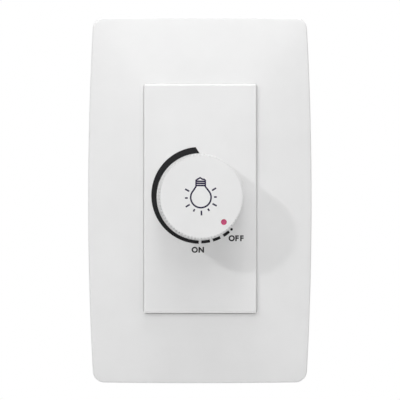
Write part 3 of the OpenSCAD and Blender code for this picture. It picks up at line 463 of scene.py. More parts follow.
def banded_body(name, rgb, first, pitch, bands):
    """Lacquered axial parts, the first at a height and the next a pitch on, in millimetres.

    Each band is (share of the pitch, half width, colour)."""
    finish, solid = Finish(name, rgb, 0.3, IOR=1.52), 0.85
    height = finish.node("ShaderNodeSeparateXYZ", {0: finish.moved((0, 0, first))}).outputs["Z"]
    share = finish.sums("FRACT", finish.sums("ADD", finish.sums("DIVIDE", height, pitch), 0.5))
    body = finish.mixed(finish.noise(0.5, 3), darker(rgb, 0.88), rgb)
    for middle, half, band in bands:
        away = finish.sums("ABSOLUTE", finish.sums("SUBTRACT", share, middle))
        body = finish.mixed(finish.spread(away, half * solid, half, 1, 0), body, band)
    finish.coloured(body)
    finish.bumped(finish.noise(0.4, 3), 0.02)
    return finish.material


def clear_glass(name, rgb):
    """Clear glass tube with faint draw lines."""
    finish = Finish(name, rgb, 0.04, IOR=1.5, Transmission_Weight=0.92)
    lines = finish.noise(0.3, 2, finish.moved(stretch=(0.05, 1, 1)))
    finish.coloured(finish.clouds(lines, 0.3, 0.7, shade=0.94))
    finish.bumped(lines, 0.003, strength=0.4)
    return finish.material


def zinc_plating():
    """Zinc plating, one material for all screws, nuts and washers."""
    made = bpy.data.materials.get("Zinc plating")
    return made or plated_steel("Zinc plating", (0.78, 0.78, 0.76))


def stage_floor(name, rgb):
    """Plain pale floor with a trace of mottling."""
    finish = Finish(name, rgb, 0.7)
    finish.coloured(finish.mixed(finish.noise(60, 3), darker(rgb, 0.985), rgb))
    finish.bumped(finish.noise(1.2, 3), 0.02, strength=0.5)
    return finish.material


def mesh_piece(name, bm, body, finish, node=None, sharp=SHARP):
    """Turns a finished bmesh into a piece that rides on a body and may stand for a CAD node."""
    bmesh.ops.remove_doubles(bm, verts=bm.verts, dist=MERGE)
    bmesh.ops.recalc_face_normals(bm, faces=bm.faces)
    # The operators leave vertices and faces in an order that changes from run to run
    bm.verts.sort(key=lambda v: v.co.dot(SORTING))
    bm.faces.sort(key=lambda f: f.calc_center_median().dot(SORTING))
    mesh = bpy.data.meshes.new(name)
    bm.to_mesh(mesh)
    bm.free()
    return data_piece(name, mesh, body, finish, node, sharp)


def data_piece(name, mesh, body, finish, node=None, sharp=SHARP):
    """Links a mesh whose place is already in its vertices as a piece of the dimmer."""
    mesh.shade_smooth()
    mesh.set_sharp_from_angle(angle=sharp)
    mesh.materials.clear()
    mesh.materials.append(finish)
    piece = bpy.data.objects.new(name, mesh)
    bpy.context.scene.collection.objects.link(piece)
    if node:
        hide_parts(node)
    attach(piece, body)
    return piece


def refinish(node, finish):
    """Gives a CAD node that keeps its shape its own material."""
    materials = frame["nodes"][node].data.materials
    materials.clear()
    materials.append(finish)


def closed_ring(bm, points):
    """A closed ring of vertices and edges through the points."""
    ring = [bm.verts.new(point) for point in points]
    for here, there in zip(ring, ring[1:] + ring[:1]):
        bm.edges.new((here, there))
    return ring


def extruded(bm, ring, points, closed=True):
    """Extrudes a ring of vertices and puts its copy on the points, in the ring's own order."""
    ahead = ring[1:] + ring[:1] if closed else ring[1:]
    edges = [bm.edges.get((here, there)) for here, there in zip(ring, ahead)]
    made = bmesh.ops.extrude_edge_only(bm, edges=edges)["geom"]
    fresh = {v for v in made if isinstance(v, bmesh.types.BMVert)}
    copy = []
    for old, point in zip(ring, points):
        new = next(e.other_vert(old) for e in old.link_edges if e.other_vert(old) in fresh)
        new.co = point
        copy.append(new)
    return copy


def add_block(bm, low, high, soft=0.0):
    """A box between two corners with softened edges."""
    made = bmesh.ops.create_cube(bm, size=1)["verts"]
    low, high = Vector(low), Vector(high)
    bmesh.ops.scale(bm, vec=high - low, verts=made)
    bmesh.ops.translate(bm, vec=(high + low) / 2, verts=made)
    if soft:
        edges = list(dict.fromkeys(e for v in made for e in v.link_edges))
        bmesh.ops.bevel(bm, geom=edges, offset=soft, segments=2, profile=0.5, affect="EDGES", material=-1)


def added(bm, before):
    """The vertices that a bmesh has gained since a set of them was taken."""
    return [v for v in bm.verts if v not in before]


def lathe(bm, profile, centre):
    """Turns a profile of (radius, y) points round the Y axis through the centre."""
    points = [bm.verts.new(centre + Vector((radius, y, 0))) for radius, y in profile]
    edges = [bm.edges.new(pair) for pair in zip(points, points[1:])]
    bmesh.ops.spin(bm, geom=points + edges, cent=centre, axis=AXIS, angle=2 * math.pi,
                   steps=CIRCLE_STEPS, use_merge=True)


def cad_copy(node):
    """A bmesh copy of a CAD node, its triangles merged back into flat faces."""
    bm = bmesh.new()
    bm.from_mesh(frame["nodes"][node].data)
    bmesh.ops.remove_doubles(bm, verts=bm.verts, dist=MERGE)
    bmesh.ops.dissolve_limit(bm, angle_limit=FLAT, verts=bm.verts, edges=bm.edges)
    return bm


def softened(name, node, body, finish, radius):
    """A copy of a CAD node whose mould or tool radii are real."""
    bm = cad_copy(node)
    mesh = bpy.data.meshes.new(name)
    bm.to_mesh(mesh)
    bm.free()
    piece = data_piece(name, mesh, body, finish, node)
    soft = piece.modifiers.new("Soft edges", "BEVEL")
    soft.width = radius
    soft.segments = 2
    soft.limit_method = "ANGLE"
    soft.angle_limit = SHARP
    soft.use_clamp_overlap = True
    soft.harden_normals = True
    return piece


def arc_points(centre, radius, start, end, steps):
    """Points (x, z) of an arc from one angle to just short of the other."""
    turns = [start + (end - start) * k / steps for k in range(steps)]
    return [(centre[0] + radius * math.cos(a), centre[1] + radius * math.sin(a)) for a in turns]


def rounding(steps):
    """Shares (1 - cos, 1 - sin) of a rounded edge's radius, a quarter turn in equal steps."""
    turns = [math.pi / 2 * k / steps for k in range(1, steps + 1)]
    return [(1 - math.cos(a), 1 - math.sin(a)) for a in turns]


def four_quarters(quarter, top, up=0.0):
    """A closed outline from its upper right quarter, the top point and the height of its middle."""
    mirrored = [(-x, z) for x, z in reversed(quarter[1:])]
    half = quarter + [top] + mirrored
    return [(x, z + up) for x, z in half] + [(-x, up - z) for x, z in half]


def between(outer, inner, share):
    """An outline part of the way from one to another."""
    return [(a[0] + (b[0] - a[0]) * share, a[1] + (b[1] - a[1]) * share) for a, b in zip(outer, inner)]


class PlateForm:
    """Outline, window and crown of the cover plate."""

    # Points along each arc of a quarter of the outline
    SIDE, CORNER, END = 20, 10, 12

    def __init__(self, plate, panel):
        self.plate, self.panel = plate, panel
        half_w, half_h = box_size("cover_plate", 0) / 2, box_size("cover_plate", 2) / 2
        self.half_h = half_h
        self.side_r = (half_h ** 2 + plate.side_bow ** 2) / (2 * plate.side_bow)
        self.end_r = (half_w ** 2 + plate.end_bow ** 2) / (2 * plate.end_bow)
        self.side_c, self.end_c = half_w - self.side_r, half_h - self.end_r
        # The corner's circle touches the side arc and the end arc. Its z comes from a near x, then its x
        guess_x = half_w - plate.side_bow - plate.corner
        corner_z = self.end_c + math.sqrt((self.end_r - plate.corner) ** 2 - guess_x ** 2)
        corner_x = self.side_c + math.sqrt((self.side_r - plate.corner) ** 2 - corner_z ** 2)
        self.corner_at = (corner_x, corner_z)
        self.start = math.atan2(corner_z, corner_x - self.side_c)
        self.end = math.atan2(corner_z - self.end_c, corner_x)
        self.ridge = (corner_x + plate.corner / math.sqrt(2), corner_z + plate.corner / math.sqrt(2))

    def outline(self, inset):
        """The plate's outline moved in: side arc, corner arc and end arc in each quarter."""
        quarter = arc_points((self.side_c, 0), self.side_r - inset, 0, self.start, self.SIDE)
        quarter += arc_points(self.corner_at, self.plate.corner - inset, self.start, self.end, self.CORNER)
        quarter += arc_points((0, self.end_c), self.end_r - inset, self.end, math.pi / 2, self.END)
        return four_quarters(quarter, (0, self.half_h - inset))

    def window(self, grow):
        """The window's rounded outline, with as many points in each stretch as the plate's."""
        gap, head, foot = self.plate.window_gap, self.plate.window_head, self.plate.window_foot
        half_w = self.panel.width / 2 + gap + grow
        half_h = (self.panel.height + head + foot) / 2 + grow
        corner = self.panel.corner + gap + grow
        quarter = [(half_w, (half_h - corner) * k / self.SIDE) for k in range(self.SIDE)]
        quarter += arc_points((half_w - corner, half_h - corner), corner, 0, math.pi / 2, self.CORNER)
        quarter += [((half_w - corner) * (1 - k / self.END), half_h) for k in range(self.END)]
        middle = self.panel.up + (head - foot) / 2
        return [(x + self.plate.window_aside, z) for x, z in four_quarters(quarter, (0, half_h), middle)]

    def height(self, x, z):
        """Height of the crowned front over the wall plane."""
        across, along, blend = x / self.ridge[0], z / self.ridge[1], self.plate.blend
        fall = (across ** (2 * blend) + along ** (2 * blend)) ** (1 / blend)
        return self.plate.depth - self.plate.crown_drop * fall


def cover_rings(form, plate):
    """Rings of the cover's section, each with its depth below the crown: outside, window, inside."""
    roll_steps, face_steps, edge_steps, inner_steps = 7, 16, 4, 7
    wall_plane, roll, bend = plate.depth, plate.roll, plate.window_edge
    rings = [(form.outline(0), wall_plane), (form.outline(0), roll)]
    rings += [(form.outline(roll * inward), roll * deep) for inward, deep in rounding(roll_steps)]
    rim, edge = form.outline(roll), form.window(bend)
    rings += [(between(rim, edge, k / face_steps), 0.0) for k in range(1, face_steps + 1)]
    rings += [(form.window(bend * outward), bend * deep) for deep, outward in rounding(edge_steps)]
    tub, window = form.outline(plate.wall), form.window(0)
    rings += [(between(window, tub, k / inner_steps), plate.wall) for k in range(inner_steps + 1)]
    rings.append((tub, wall_plane))
    return rings


def add_claw(bm, side, z, plate):
    """One snap claw of the cover: an arm beside the mounting frame, with a ramped nib at its end."""
    gap, arm_t, nib, nib_t, soft = 0.3 * MM, 1.6 * MM, 1.0 * MM, 0.7 * MM, 0.2 * MM
    root, arm_end = -5.2 * MM, -0.4 * MM
    arm_x = box_size("mounting_frame", 0) / 2 + gap
    half = plate.claw_width / 2
    before = set(bm.verts)
    add_block(bm, (arm_x, root, z - half), (arm_x + arm_t, arm_end, z + half), soft)
    add_block(bm, (arm_x - nib, arm_end - nib_t, z - half), (arm_x + arm_t / 2, arm_end, z + half))
    fresh = added(bm, before)
    for v in fresh:
        if v.co.x < arm_x - nib / 2 and v.co.y > arm_end - nib_t / 2:
            v.co.y -= nib_t / 2
    if side < 0:
        bmesh.ops.scale(bm, vec=(-1, 1, 1), verts=fresh)


class DIMMER_OT_cover_plate(bpy.types.Operator):
    """Models the crowned cover plate with its window, claws, rims and gussets"""

    bl_idname = "dimmer.cover_plate"
    bl_label = "Cover plate"

    # Places of the gussets as shares of the plate's half height
    GUSSET_SHARES = (-0.72, -0.2, 0.18, 0.7)

    def execute(self, context):
        scene = context.scene
        plate, panel = scene.dimmer_plate, scene.dimmer_panel
        form = PlateForm(plate, panel)
        bm = bmesh.new()
        rings = cover_rings(form, plate)
        outline, depth = rings[0]
        ring = closed_ring(bm, [(x, depth, z) for x, z in outline])
        for outline, depth in rings[1:] + rings[:1]:
            ring = extruded(bm, ring, [(x, depth, z) for x, z in outline])
        bmesh.ops.remove_doubles(bm, verts=bm.verts, dist=MERGE)
        for v in bm.verts:
            v.co.y = min(0, v.co.y - form.height(v.co.x, v.co.z))
        for side in (-1, 1):
            for z in (-plate.claw_at, plate.claw_at):
                add_claw(bm, side, z, plate)
            self.add_stiffeners(bm, side, form, plate, panel)
        plastic = moulded_plastic("Cover plastic", scene.dimmer_finish.cover)
        mesh_piece("cover_plate_skin", bm, "wall_unit", plastic, "cover_plate")
        return {"FINISHED"}

    def add_stiffeners(self, bm, side, form, plate, panel):
        """Rim along the window and four gussets against the side wall."""
        soft, rim_t, sink = 0.15 * MM, 1.2 * MM, 0.3 * MM
        rim_half, rim_end, gusset_end = 29 * MM, -4.3 * MM, -1.0 * MM
        x = panel.width / 2 + plate.window_gap
        front = plate.wall - form.height(x, 0) - sink
        rim = sorted((side * x, side * (x + rim_t)))
        add_block(bm, (rim[0], front, panel.up - rim_half), (rim[1], rim_end, panel.up + rim_half), soft)
        inner = box_size("mounting_frame", 0) / 2 + sink
        outer = box_size("cover_plate", 0) / 2 - plate.side_bow
        span = sorted((side * inner, side * outer))
        for share in self.GUSSET_SHARES:
            z = share * form.half_h
            front = plate.wall - form.height(inner, z) - sink
            add_block(bm, (span[0], front, z), (span[1], gusset_end, z + rim_t), soft)


class DIMMER_OT_front_panel(bpy.types.Operator):
    """Gives the module face its mould radii and its plastic"""

    bl_idname = "dimmer.front_panel"
    bl_label = "Module face"

    def execute(self, context):
        scene = context.scene
        plastic = moulded_plastic("Module plastic", scene.dimmer_finish.panel)
        soft = scene.dimmer_panel.soft_edge
        softened("front_panel_skin", "front_panel", "wall_unit", plastic, soft)
        return {"FINISHED"}


class KnobForm:
    """Place and section of the knob."""

    # Share of the pitch and share of the groove's depth along one rib
    RIB_SHARES = ((0.0, 0.15), (0.05, 0.0), (0.33, 0.0), (0.38, 0.15),
                  (0.47, 0.88), (0.53, 1.0), (0.85, 1.0), (0.91, 0.88))

    def __init__(self, knob, ink):
        low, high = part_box("knob")
        self.knob = knob
        self.radius = box_size("knob", 0) / 2
        self.centre = Vector((box_middle("knob", 0), 0, box_middle("knob", 2)))
        self.back, self.face = high[1], low[1] + ink
        self.pitch = 2 * math.pi / knob.ribs

    def stations(self):
        """(largest radius, y) along the knob's skin, from the bore's end round to the face."""
        knob, bevel, steps, flat_share = self.knob, 0.15 * MM, 7, 1.15
        inside = self.face + knob.face
        skirt = self.radius - knob.rib_depth - knob.wall
        hub_end = self.face + knob.hub_depth
        out = [(knob.bore, self.bore_end()), (knob.bore, hub_end), (knob.hub, hub_end), (knob.hub, inside),
               (skirt, inside), (skirt, self.back), (self.radius - knob.rib_depth - bevel, self.back),
               (self.radius, self.back - bevel), (self.radius, self.face + knob.edge)]
        for inward, deep in rounding(steps):
            out.append((self.radius - knob.edge * inward, self.face + knob.edge * deep))
        out.append((self.radius - knob.edge * flat_share, self.face))
        return out

    def bore_end(self):
        """Depth of the bore's closed end, just behind the knob's face."""
        floor = 0.15 * MM
        return self.face + self.knob.face + floor

    def rib(self, limit, y):
        """Points across one rib, cut off at a largest radius."""
        points = []
        for share, depth in self.RIB_SHARES + ((1.0, self.RIB_SHARES[0][1]),):
            radius = min(limit, self.radius - depth * self.knob.rib_depth)
            turn = share * self.pitch
            points.append(self.centre + Vector((radius * math.cos(turn), y, radius * math.sin(turn))))
        return points

    def dot(self):
        """Middle of the red mark on the knob's axis plane."""
        a = self.knob.dot_angle
        return self.centre + self.knob.dot_reach * Vector((math.cos(a), 0, math.sin(a)))


def circle_on_face(bm, centre, radius, y):
    """A ring of edges round a point, facing the front."""
    made = bmesh.ops.create_circle(bm, cap_ends=False, segments=CIRCLE_STEPS, radius=radius)["verts"]
    bmesh.ops.rotate(bm, cent=(0, 0, 0), matrix=Matrix.Rotation(math.pi / 2, 3, "X"), verts=made)
    bmesh.ops.translate(bm, vec=centre + Vector((0, y, 0)), verts=made)
    return made


def edges_among(verts):
    """The edges whose two ends are both among the vertices, each once and in a steady order."""
    chosen = set(verts)
    return list(dict.fromkeys(e for v in verts for e in v.link_edges if e.other_vert(v) in chosen))


class DIMMER_OT_knob(bpy.types.Operator):
    """Models the ribbed knob, its hollow back, its hub and webs, and the red mark in its recess"""

    bl_idname = "dimmer.knob"
    bl_label = "Knob"

    def execute(self, context):
        scene = context.scene
        knob = scene.dimmer_knob
        form = KnobForm(knob, scene.dimmer_print.ink)
        bm = bmesh.new()
        stations = form.stations()
        strip = [bm.verts.new(p) for p in form.rib(*stations[0])]
        for here, there in zip(strip, strip[1:]):
            bm.edges.new((here, there))
        for station in stations[1:]:
            strip = extruded(bm, strip, form.rib(*station), closed=False)
        bmesh.ops.spin(bm, geom=bm.verts[:] + bm.edges[:] + bm.faces[:], cent=form.centre, axis=AXIS,
                       angle=2 * math.pi - form.pitch, steps=knob.ribs - 1, use_duplicate=True)
        bmesh.ops.remove_doubles(bm, verts=bm.verts, dist=MERGE)
        self.shape_bore(bm, form)
        self.fill_face(bm, form)
        self.add_webs(bm, form)
        plastic = moulded_plastic("Knob plastic", scene.dimmer_finish.knob)
        mesh_piece("knob_skin", bm, "knob_rotor", plastic, "knob")
        self.add_mark(scene, form)
        return {"FINISHED"}

    def shape_bore(self, bm, form):
        """Closes the bore and flattens its side into a D."""
        flat, margin = form.knob.bore_flat, 1.01
        edge = form.knob.bore * margin
        for v in bm.verts:
            away = v.co - form.centre
            if math.hypot(away.x, away.z) < edge and away.x > flat:
                v.co.x = form.centre.x + flat
        open_edges = [e for e in bm.edges if e.is_boundary]
        bore = [e for e in open_edges if abs(e.verts[0].co.y - form.bore_end()) < MERGE]
        bmesh.ops.contextual_create(bm, geom=bore)

    def fill_face(self, bm, form):
        """Closes the front round the mark's recess."""
        knob, recess = form.knob, 0.25 * MM
        rim = [e for e in bm.edges if e.is_boundary]
        hole = circle_on_face(bm, form.dot(), knob.dot, form.face)
        hole_edges = edges_among(hole)
        bmesh.ops.triangle_fill(bm, use_beauty=True, use_dissolve=False, edges=rim + hole_edges,
                                normal=FORWARD)
        wall = bmesh.ops.extrude_edge_only(bm, edges=hole_edges)["geom"]
        deep = [v for v in wall if isinstance(v, bmesh.types.BMVert)]
        bmesh.ops.translate(bm, vec=(0, recess, 0), verts=deep)
        bmesh.ops.contextual_create(bm, geom=edges_among(deep))

    def add_webs(self, bm, form):
        """Six webs between the hub and the skirt."""
        knob, webs, half, soft, reach, sunk = form.knob, 6, 0.5 * MM, 0.12 * MM, 7.4 * MM, 0.9
        root, end = knob.hub * sunk, form.face + reach
        skirt = form.radius - knob.rib_depth - knob.wall / 2
        for k in range(webs):
            before = set(bm.verts)
            add_block(bm, (root, form.face + knob.face / 2, -half), (skirt, end, half), soft)
            fresh = added(bm, before)
            turn = Matrix.Rotation(2 * math.pi * k / webs, 3, "Y")
            bmesh.ops.rotate(bm, cent=(0, 0, 0), matrix=turn, verts=fresh)
            bmesh.ops.translate(bm, vec=form.centre, verts=fresh)

    def add_mark(self, scene, form):
        """Paint in the recess, drawn up a little where it wets the wall."""
        r, y, floor = form.knob.dot, form.face, form.face + 0.22 * MM
        bm = bmesh.new()
        # Share of the mark's radius, and the paint's depth below the knob's face in millimetres
        meniscus = ((0.99, 0.01), (0.9, 0.03), (0.7, 0.05), (0, 0.06))
        profile = [(0, floor), (r * meniscus[0][0], floor)]
        profile += [(r * share, y + depth * MM) for share, depth in meniscus]
        lathe(bm, profile, form.dot())
        paint = mark_paint("Mark paint", scene.dimmer_finish.red)
        mesh_piece("knob_mark", bm, "knob_rotor", paint, "knob_dot")


def curve_mesh(name, curve):
    """The mesh of a curve or a text, which is removed after it."""
    drawn = bpy.data.objects.new(name, curve)
    bpy.context.scene.collection.objects.link(drawn)
    bpy.context.view_layer.update()
    mesh = bpy.data.meshes.new_from_object(drawn.evaluated_get(bpy.context.evaluated_depsgraph_get()))
    bpy.data.objects.remove(drawn)
    bpy.data.curves.remove(curve)
    return mesh


def word_mesh(name, text, height, gaps):
    """A word as a flat mesh, centred, facing the front, with more or less room after each letter."""
    # A capital's share of the font's size, growth of the strokes, letter spacing, and a depth to squeeze
    capital_share, bolder, spacing, depth = 0.72, 0.1 * MM, 1.14, 0.5 * MM
    curve = bpy.data.curves.new(name, "FONT")
    curve.body = text
    curve.align_x, curve.align_y = "CENTER", "CENTER"
    for letter, gap in zip(curve.body_format, gaps):
        letter.kerning = gap
    curve.size = height / capital_share
    curve.space_character = spacing
    curve.extrude = depth
    curve.offset = bolder
    mesh = curve_mesh(name, curve)
    mesh.transform(Matrix.Rotation(math.pi / 2, 4, "X"))
    return mesh


def stroke_mesh(name, strokes, width):
    """Lines drawn with a round pen as one mesh. Each stroke is (points as (x, z), closed)."""
    curve = bpy.data.curves.new(name, "CURVE")
    curve.dimensions = "3D"
    curve.bevel_depth = width / 2
    curve.bevel_resolution = 3
    curve.use_fill_caps = True
    for points, closed in strokes:
        spline = curve.splines.new("POLY")
        spline.points.add(len(points) - 1)
        spline.use_cyclic_u = closed
        for knot, (x, z) in zip(spline.points, points):
            knot.co = (x, 0, z, 1)
    return curve_mesh(name, curve)


def flattened(mesh, thickness, at):
    """Squeezes a mesh to a thickness along Y and moves it to its place."""
    depths = [v.co.y for v in mesh.vertices]
    squeeze = thickness / (max(depths) - min(depths))
    mesh.transform(Matrix.Translation(at) @ Matrix.Diagonal((1, squeeze, 1, 1)))
    return mesh


class DIMMER_OT_prints(bpy.types.Operator):
    """Prints the scale, the words and the lamp sign"""

    bl_idname = "dimmer.prints"
    bl_label = "Prints"

    # Middle of each word from the plate's middle, in millimetres, and the kerning after its letters
    WORDS = (("ON", -0.75, -16.1, (0,)), ("OFF", 11.5, -12.4, (-1.7, 8.9)))
    # Middle of the bulb from the knob's middle, in millimetres
    BULB = Vector((-0.1, -0.2))
    # Where the bulb's outline starts and ends at the neck, the first ray and the next, in degrees
    NECK, FIRST_RAY, RAY_STEP = (139, 401), 152, 30
    # Corners of the lamp's cap, its sides, and the heights and slope of its thread lines, in millimetres
    CAP = [Vector(point) for point in ((1.3, 3.3), (1.3, 5.25), (1.0, 5.55), (0.35, 5.65),
                                       (-0.35, 6.1), (-1.0, 5.7), (-1.65, 5.3), (-1.65, 3.3))]
    CAP_SIDES, THREADS, SLOPE = (-1.65, 1.3), (3.62, 4.3, 4.95), 0.04
    # The sign's film against the scale's
    SIGN_FILM = 1.6

    def execute(self, context):
        scene = context.scene
        settings = scene.dimmer_print
        ink = printed_ink("Scale ink", scene.dimmer_finish.ink)
        refinish("scale_print", ink)
        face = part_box("scale_print")[1][1]
        for text, x, z, gaps in self.WORDS:
            place = Vector((x * MM, face - settings.ink / 2, z * MM))
            word = word_mesh("word", text, settings.letter_height, gaps)
            mesh = flattened(word, settings.ink, place)
            data_piece("word_" + text.lower(), mesh, "wall_unit", ink)
        form = KnobForm(scene.dimmer_knob, settings.ink)
        mesh = stroke_mesh("sign", self.lamp_strokes(settings), settings.stroke)
        flattened(mesh, settings.ink * self.SIGN_FILM, form.centre + Vector((0, form.face, 0)))
        sign_ink = printed_ink("Sign ink", scene.dimmer_finish.sign_ink)
        data_piece("lamp_sign", mesh, "knob_rotor", sign_ink)
        return {"FINISHED"}

    def lamp_strokes(self, settings):
        """A hanging bulb, its screw cap with three thread lines, and rays, long and short by turns."""
        middle, steps = self.BULB * MM, 40
        neck = [math.radians(angle) for angle in self.NECK]
        bulb = arc_points(middle, settings.bulb_radius, *neck, steps)
        strokes = [(bulb + [p * MM for p in self.CAP], True)]
        left, right = self.CAP_SIDES
        for z in self.THREADS:
            ends = (Vector((left, z + self.SLOPE)), Vector((right, z - self.SLOPE)))
            strokes.append(([p * MM for p in ends], False))
        for k in range(settings.rays):
            a = math.radians(self.FIRST_RAY + self.RAY_STEP * k)
            end = settings.ray_start + (settings.short_ray if k % 2 else settings.long_ray)
            ray = [middle + r * Vector((math.cos(a), math.sin(a))) for r in (settings.ray_start, end)]
            strokes.append((ray, False))
        return strokes


class DIMMER_OT_rear(bpy.types.Operator):
    """Gives the mounting frame and the rear housing their mould radii and plastics"""

    bl_idname = "dimmer.rear"
    bl_label = "Mounting frame and housing"

    def execute(self, context):
        finish = context.scene.dimmer_finish
        soft, grain = 0.12 * MM, 0.3
        carrier = moulded_plastic("Carrier plastic", finish.carrier, 0.46, grain, relief=0.008)
        softened("mounting_frame_skin", "mounting_frame", "wall_unit", carrier, soft)
        housing = moulded_plastic("Housing plastic", finish.housing, 0.5, grain, relief=0.01)
        softened("rear_housing_skin", "rear_housing", "wall_unit", housing, soft)
        return {"FINISHED"}


class DIMMER_OT_box_screws(bpy.types.Operator):
    """Models the two box screws with their cross recess and a real thread"""

    bl_idname = "dimmer.box_screws"
    bl_label = "Box screws"

    def execute(self, context):
        bm = cad_copy("box_screws")
        low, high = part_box("box_screws")
        head_dia, under_head, sharp = 7.4 * MM, -0.05 * MM, math.radians(28)
        pitch_z = (high[2] - low[2] - head_dia) / 2
        bmesh.ops.bisect_plane(bm, geom=bm.verts[:] + bm.edges[:] + bm.faces[:], dist=MERGE,
                               plane_co=(0, under_head, 0), plane_no=AXIS, clear_outer=True)
        for z in (-pitch_z, pitch_z):
            self.add_thread(bm, z, high[1])
        mesh_piece("box_screws_skin", bm, "wall_unit", zinc_plating(), "box_screws", sharp)
        return {"FINISHED"}

    def add_thread(self, bm, z, tip):
        """A rolled thread from the wall plane to the tip, chamfered at its end."""
        pitch, crest, root, steps = 0.7 * MM, 2.0 * MM, 1.6 * MM, 24
        start, chamfer, tip_share = -0.04 * MM, 0.6 * MM, 0.8
        before = set(bm.verts)
        # Radius at each share of the pitch
        section = ((root, 0.0), (root, 0.12), (crest, 0.5), (crest, 0.62), (root, 1.0))
        points = [bm.verts.new((r, pitch * share - pitch, z)) for r, share in section]
        edges = [bm.edges.new(pair) for pair in zip(points, points[1:])]
        turns = math.ceil(tip / pitch) + 1
        bmesh.ops.spin(bm, geom=points + edges, cent=(0, 0, z), axis=AXIS, dvec=(0, pitch / steps, 0),
                       angle=2 * math.pi * turns, steps=steps * turns)
        bmesh.ops.remove_doubles(bm, verts=added(bm, before), dist=MERGE)
        for level, outer in ((start, False), (tip, True)):
            fresh = added(bm, before)
            edges = dict.fromkeys(e for v in fresh for e in v.link_edges)
            faces = dict.fromkeys(f for v in fresh for f in v.link_faces)
            bmesh.ops.bisect_plane(bm, geom=[*fresh, *edges, *faces], dist=MERGE, plane_no=AXIS,
                                   plane_co=(0, level, 0), clear_outer=outer, clear_inner=not outer)
        fresh = added(bm, before)
        for v in fresh:
            away = Vector((v.co.x, 0, v.co.z - z))
            largest = root * tip_share + max(0, tip - v.co.y) if v.co.y > tip - chamfer else crest
            if away.length > largest:
                away *= largest / away.length
                v.co.x, v.co.z = away.x, z + away.z
        rim = [e for e in edges_among(fresh) if e.is_boundary]
        bmesh.ops.holes_fill(bm, edges=rim, sides=0)


class DIMMER_OT_inner_parts(bpy.types.Operator):
    """Gives every part inside the housing its own finish"""

    bl_idname = "dimmer.inner_parts"
    bl_label = "Inner parts"

    # Parts whose sharp CAD edges are rounded on the real ones, with the radius in millimetres
    SOFT = {"film_capacitor": 0.6, "timing_capacitor": 0.5, "triac": 0.25, "heatsink": 0.2,
            "terminal_clamps": 0.25, "circuit_board": 0.06, "pot_can": 0.12, "switch_cup": 0.15}

    def finishes(self):
        """The material of each CAD node that keeps its own shape or is softened."""
        axis = (0, 0, box_middle("pot_shaft", 2) / MM)
        zinc = zinc_plating()
        tinned = plated_steel("Tin plating", (0.80, 0.80, 0.78), blotch=2.2, roughness=0.34)
        pale = filled_plastic("Pale technical plastic", (0.86, 0.83, 0.76))
        dark = filled_plastic("Dark technical plastic", (0.12, 0.12, 0.13))
        bronze = sheet_metal("Contact bronze", (0.80, 0.60, 0.38))
        bands = ((0.27, 0.035, (0.45, 0.2, 0.1)), (0.4, 0.03, (0.08, 0.08, 0.08)),
                 (0.5, 0.03, (0.85, 0.45, 0.1)), (0.7, 0.03, (0.75, 0.6, 0.2)))
        ring = ((0.62, 0.04, (0.1, 0.1, 0.35)),)
        return {
            "knob_spring": sheet_metal("Spring steel", (0.66, 0.66, 0.67)),
            "pot_shaft": turned_metal("Turned aluminium", (0.82, 0.82, 0.82), axis),
            "pot_bushing": cast_metal("Cast zinc", (0.72, 0.72, 0.72)),
            "lock_washer": zinc, "bushing_nut": zinc, "board_screws": zinc, "heatsink_screw": zinc,
            "terminal_screws": zinc,
            "pot_wafer": pressed_paper("Phenolic laminate", (0.52, 0.34, 0.20)),
            "resistor_track": carbon_film("Carbon track", (0.07, 0.07, 0.07)),
            "pot_lugs": tinned, "pot_can": tinned, "switch_pins": tinned, "fuse_caps": tinned,
            "fuse_clips": tinned, "pot_rotor": pale, "switch_cam": pale,
            "switch_cup": dark, "switch_base": dark, "triac": dark,
            "pot_wiper": bronze, "switch_leaf": bronze, "switch_anvil": bronze,
            "circuit_board": solder_mask("Board lacquer", (0.12, 0.34, 0.18)),
            "heatsink": sheet_metal("Mill aluminium", (0.84, 0.84, 0.85), roughness=0.34),
            "choke_core": painted_core("Core paint", (0.80, 0.72, 0.22)),
            "choke_winding": enamelled_wire("Wire enamel", (0.72, 0.36, 0.18)),
            "film_capacitor": dipped_resin("Film capacitor resin", (0.86, 0.70, 0.16)),
            "timing_capacitor": dipped_resin("Timing capacitor resin", (0.56, 0.14, 0.10)),
            "resistors": banded_body("Resistor lacquer", (0.80, 0.68, 0.50), -4.8, 10.8, bands),
            "diac": banded_body("Trigger diode glass", (0.80, 0.40, 0.20), 1.0, 12.0, ring),
            "fuse_tube": clear_glass("Fuse glass", (0.90, 0.94, 0.94)),
            "terminal_clamps": sheet_metal("Brass", (0.84, 0.70, 0.38), along=(1, 1, 0.06)),
        }

    def execute(self, context):
        members = frame["record"]["behaviour"]["bodies"]
        for node, finish in self.finishes().items():
            body = next(name for name, nodes in members.items() if node in nodes)
            if node in self.SOFT:
                softened(node + "_skin", node, body, finish, self.SOFT[node] * MM)
            else:
                refinish(node, finish)
        return {"FINISHED"}


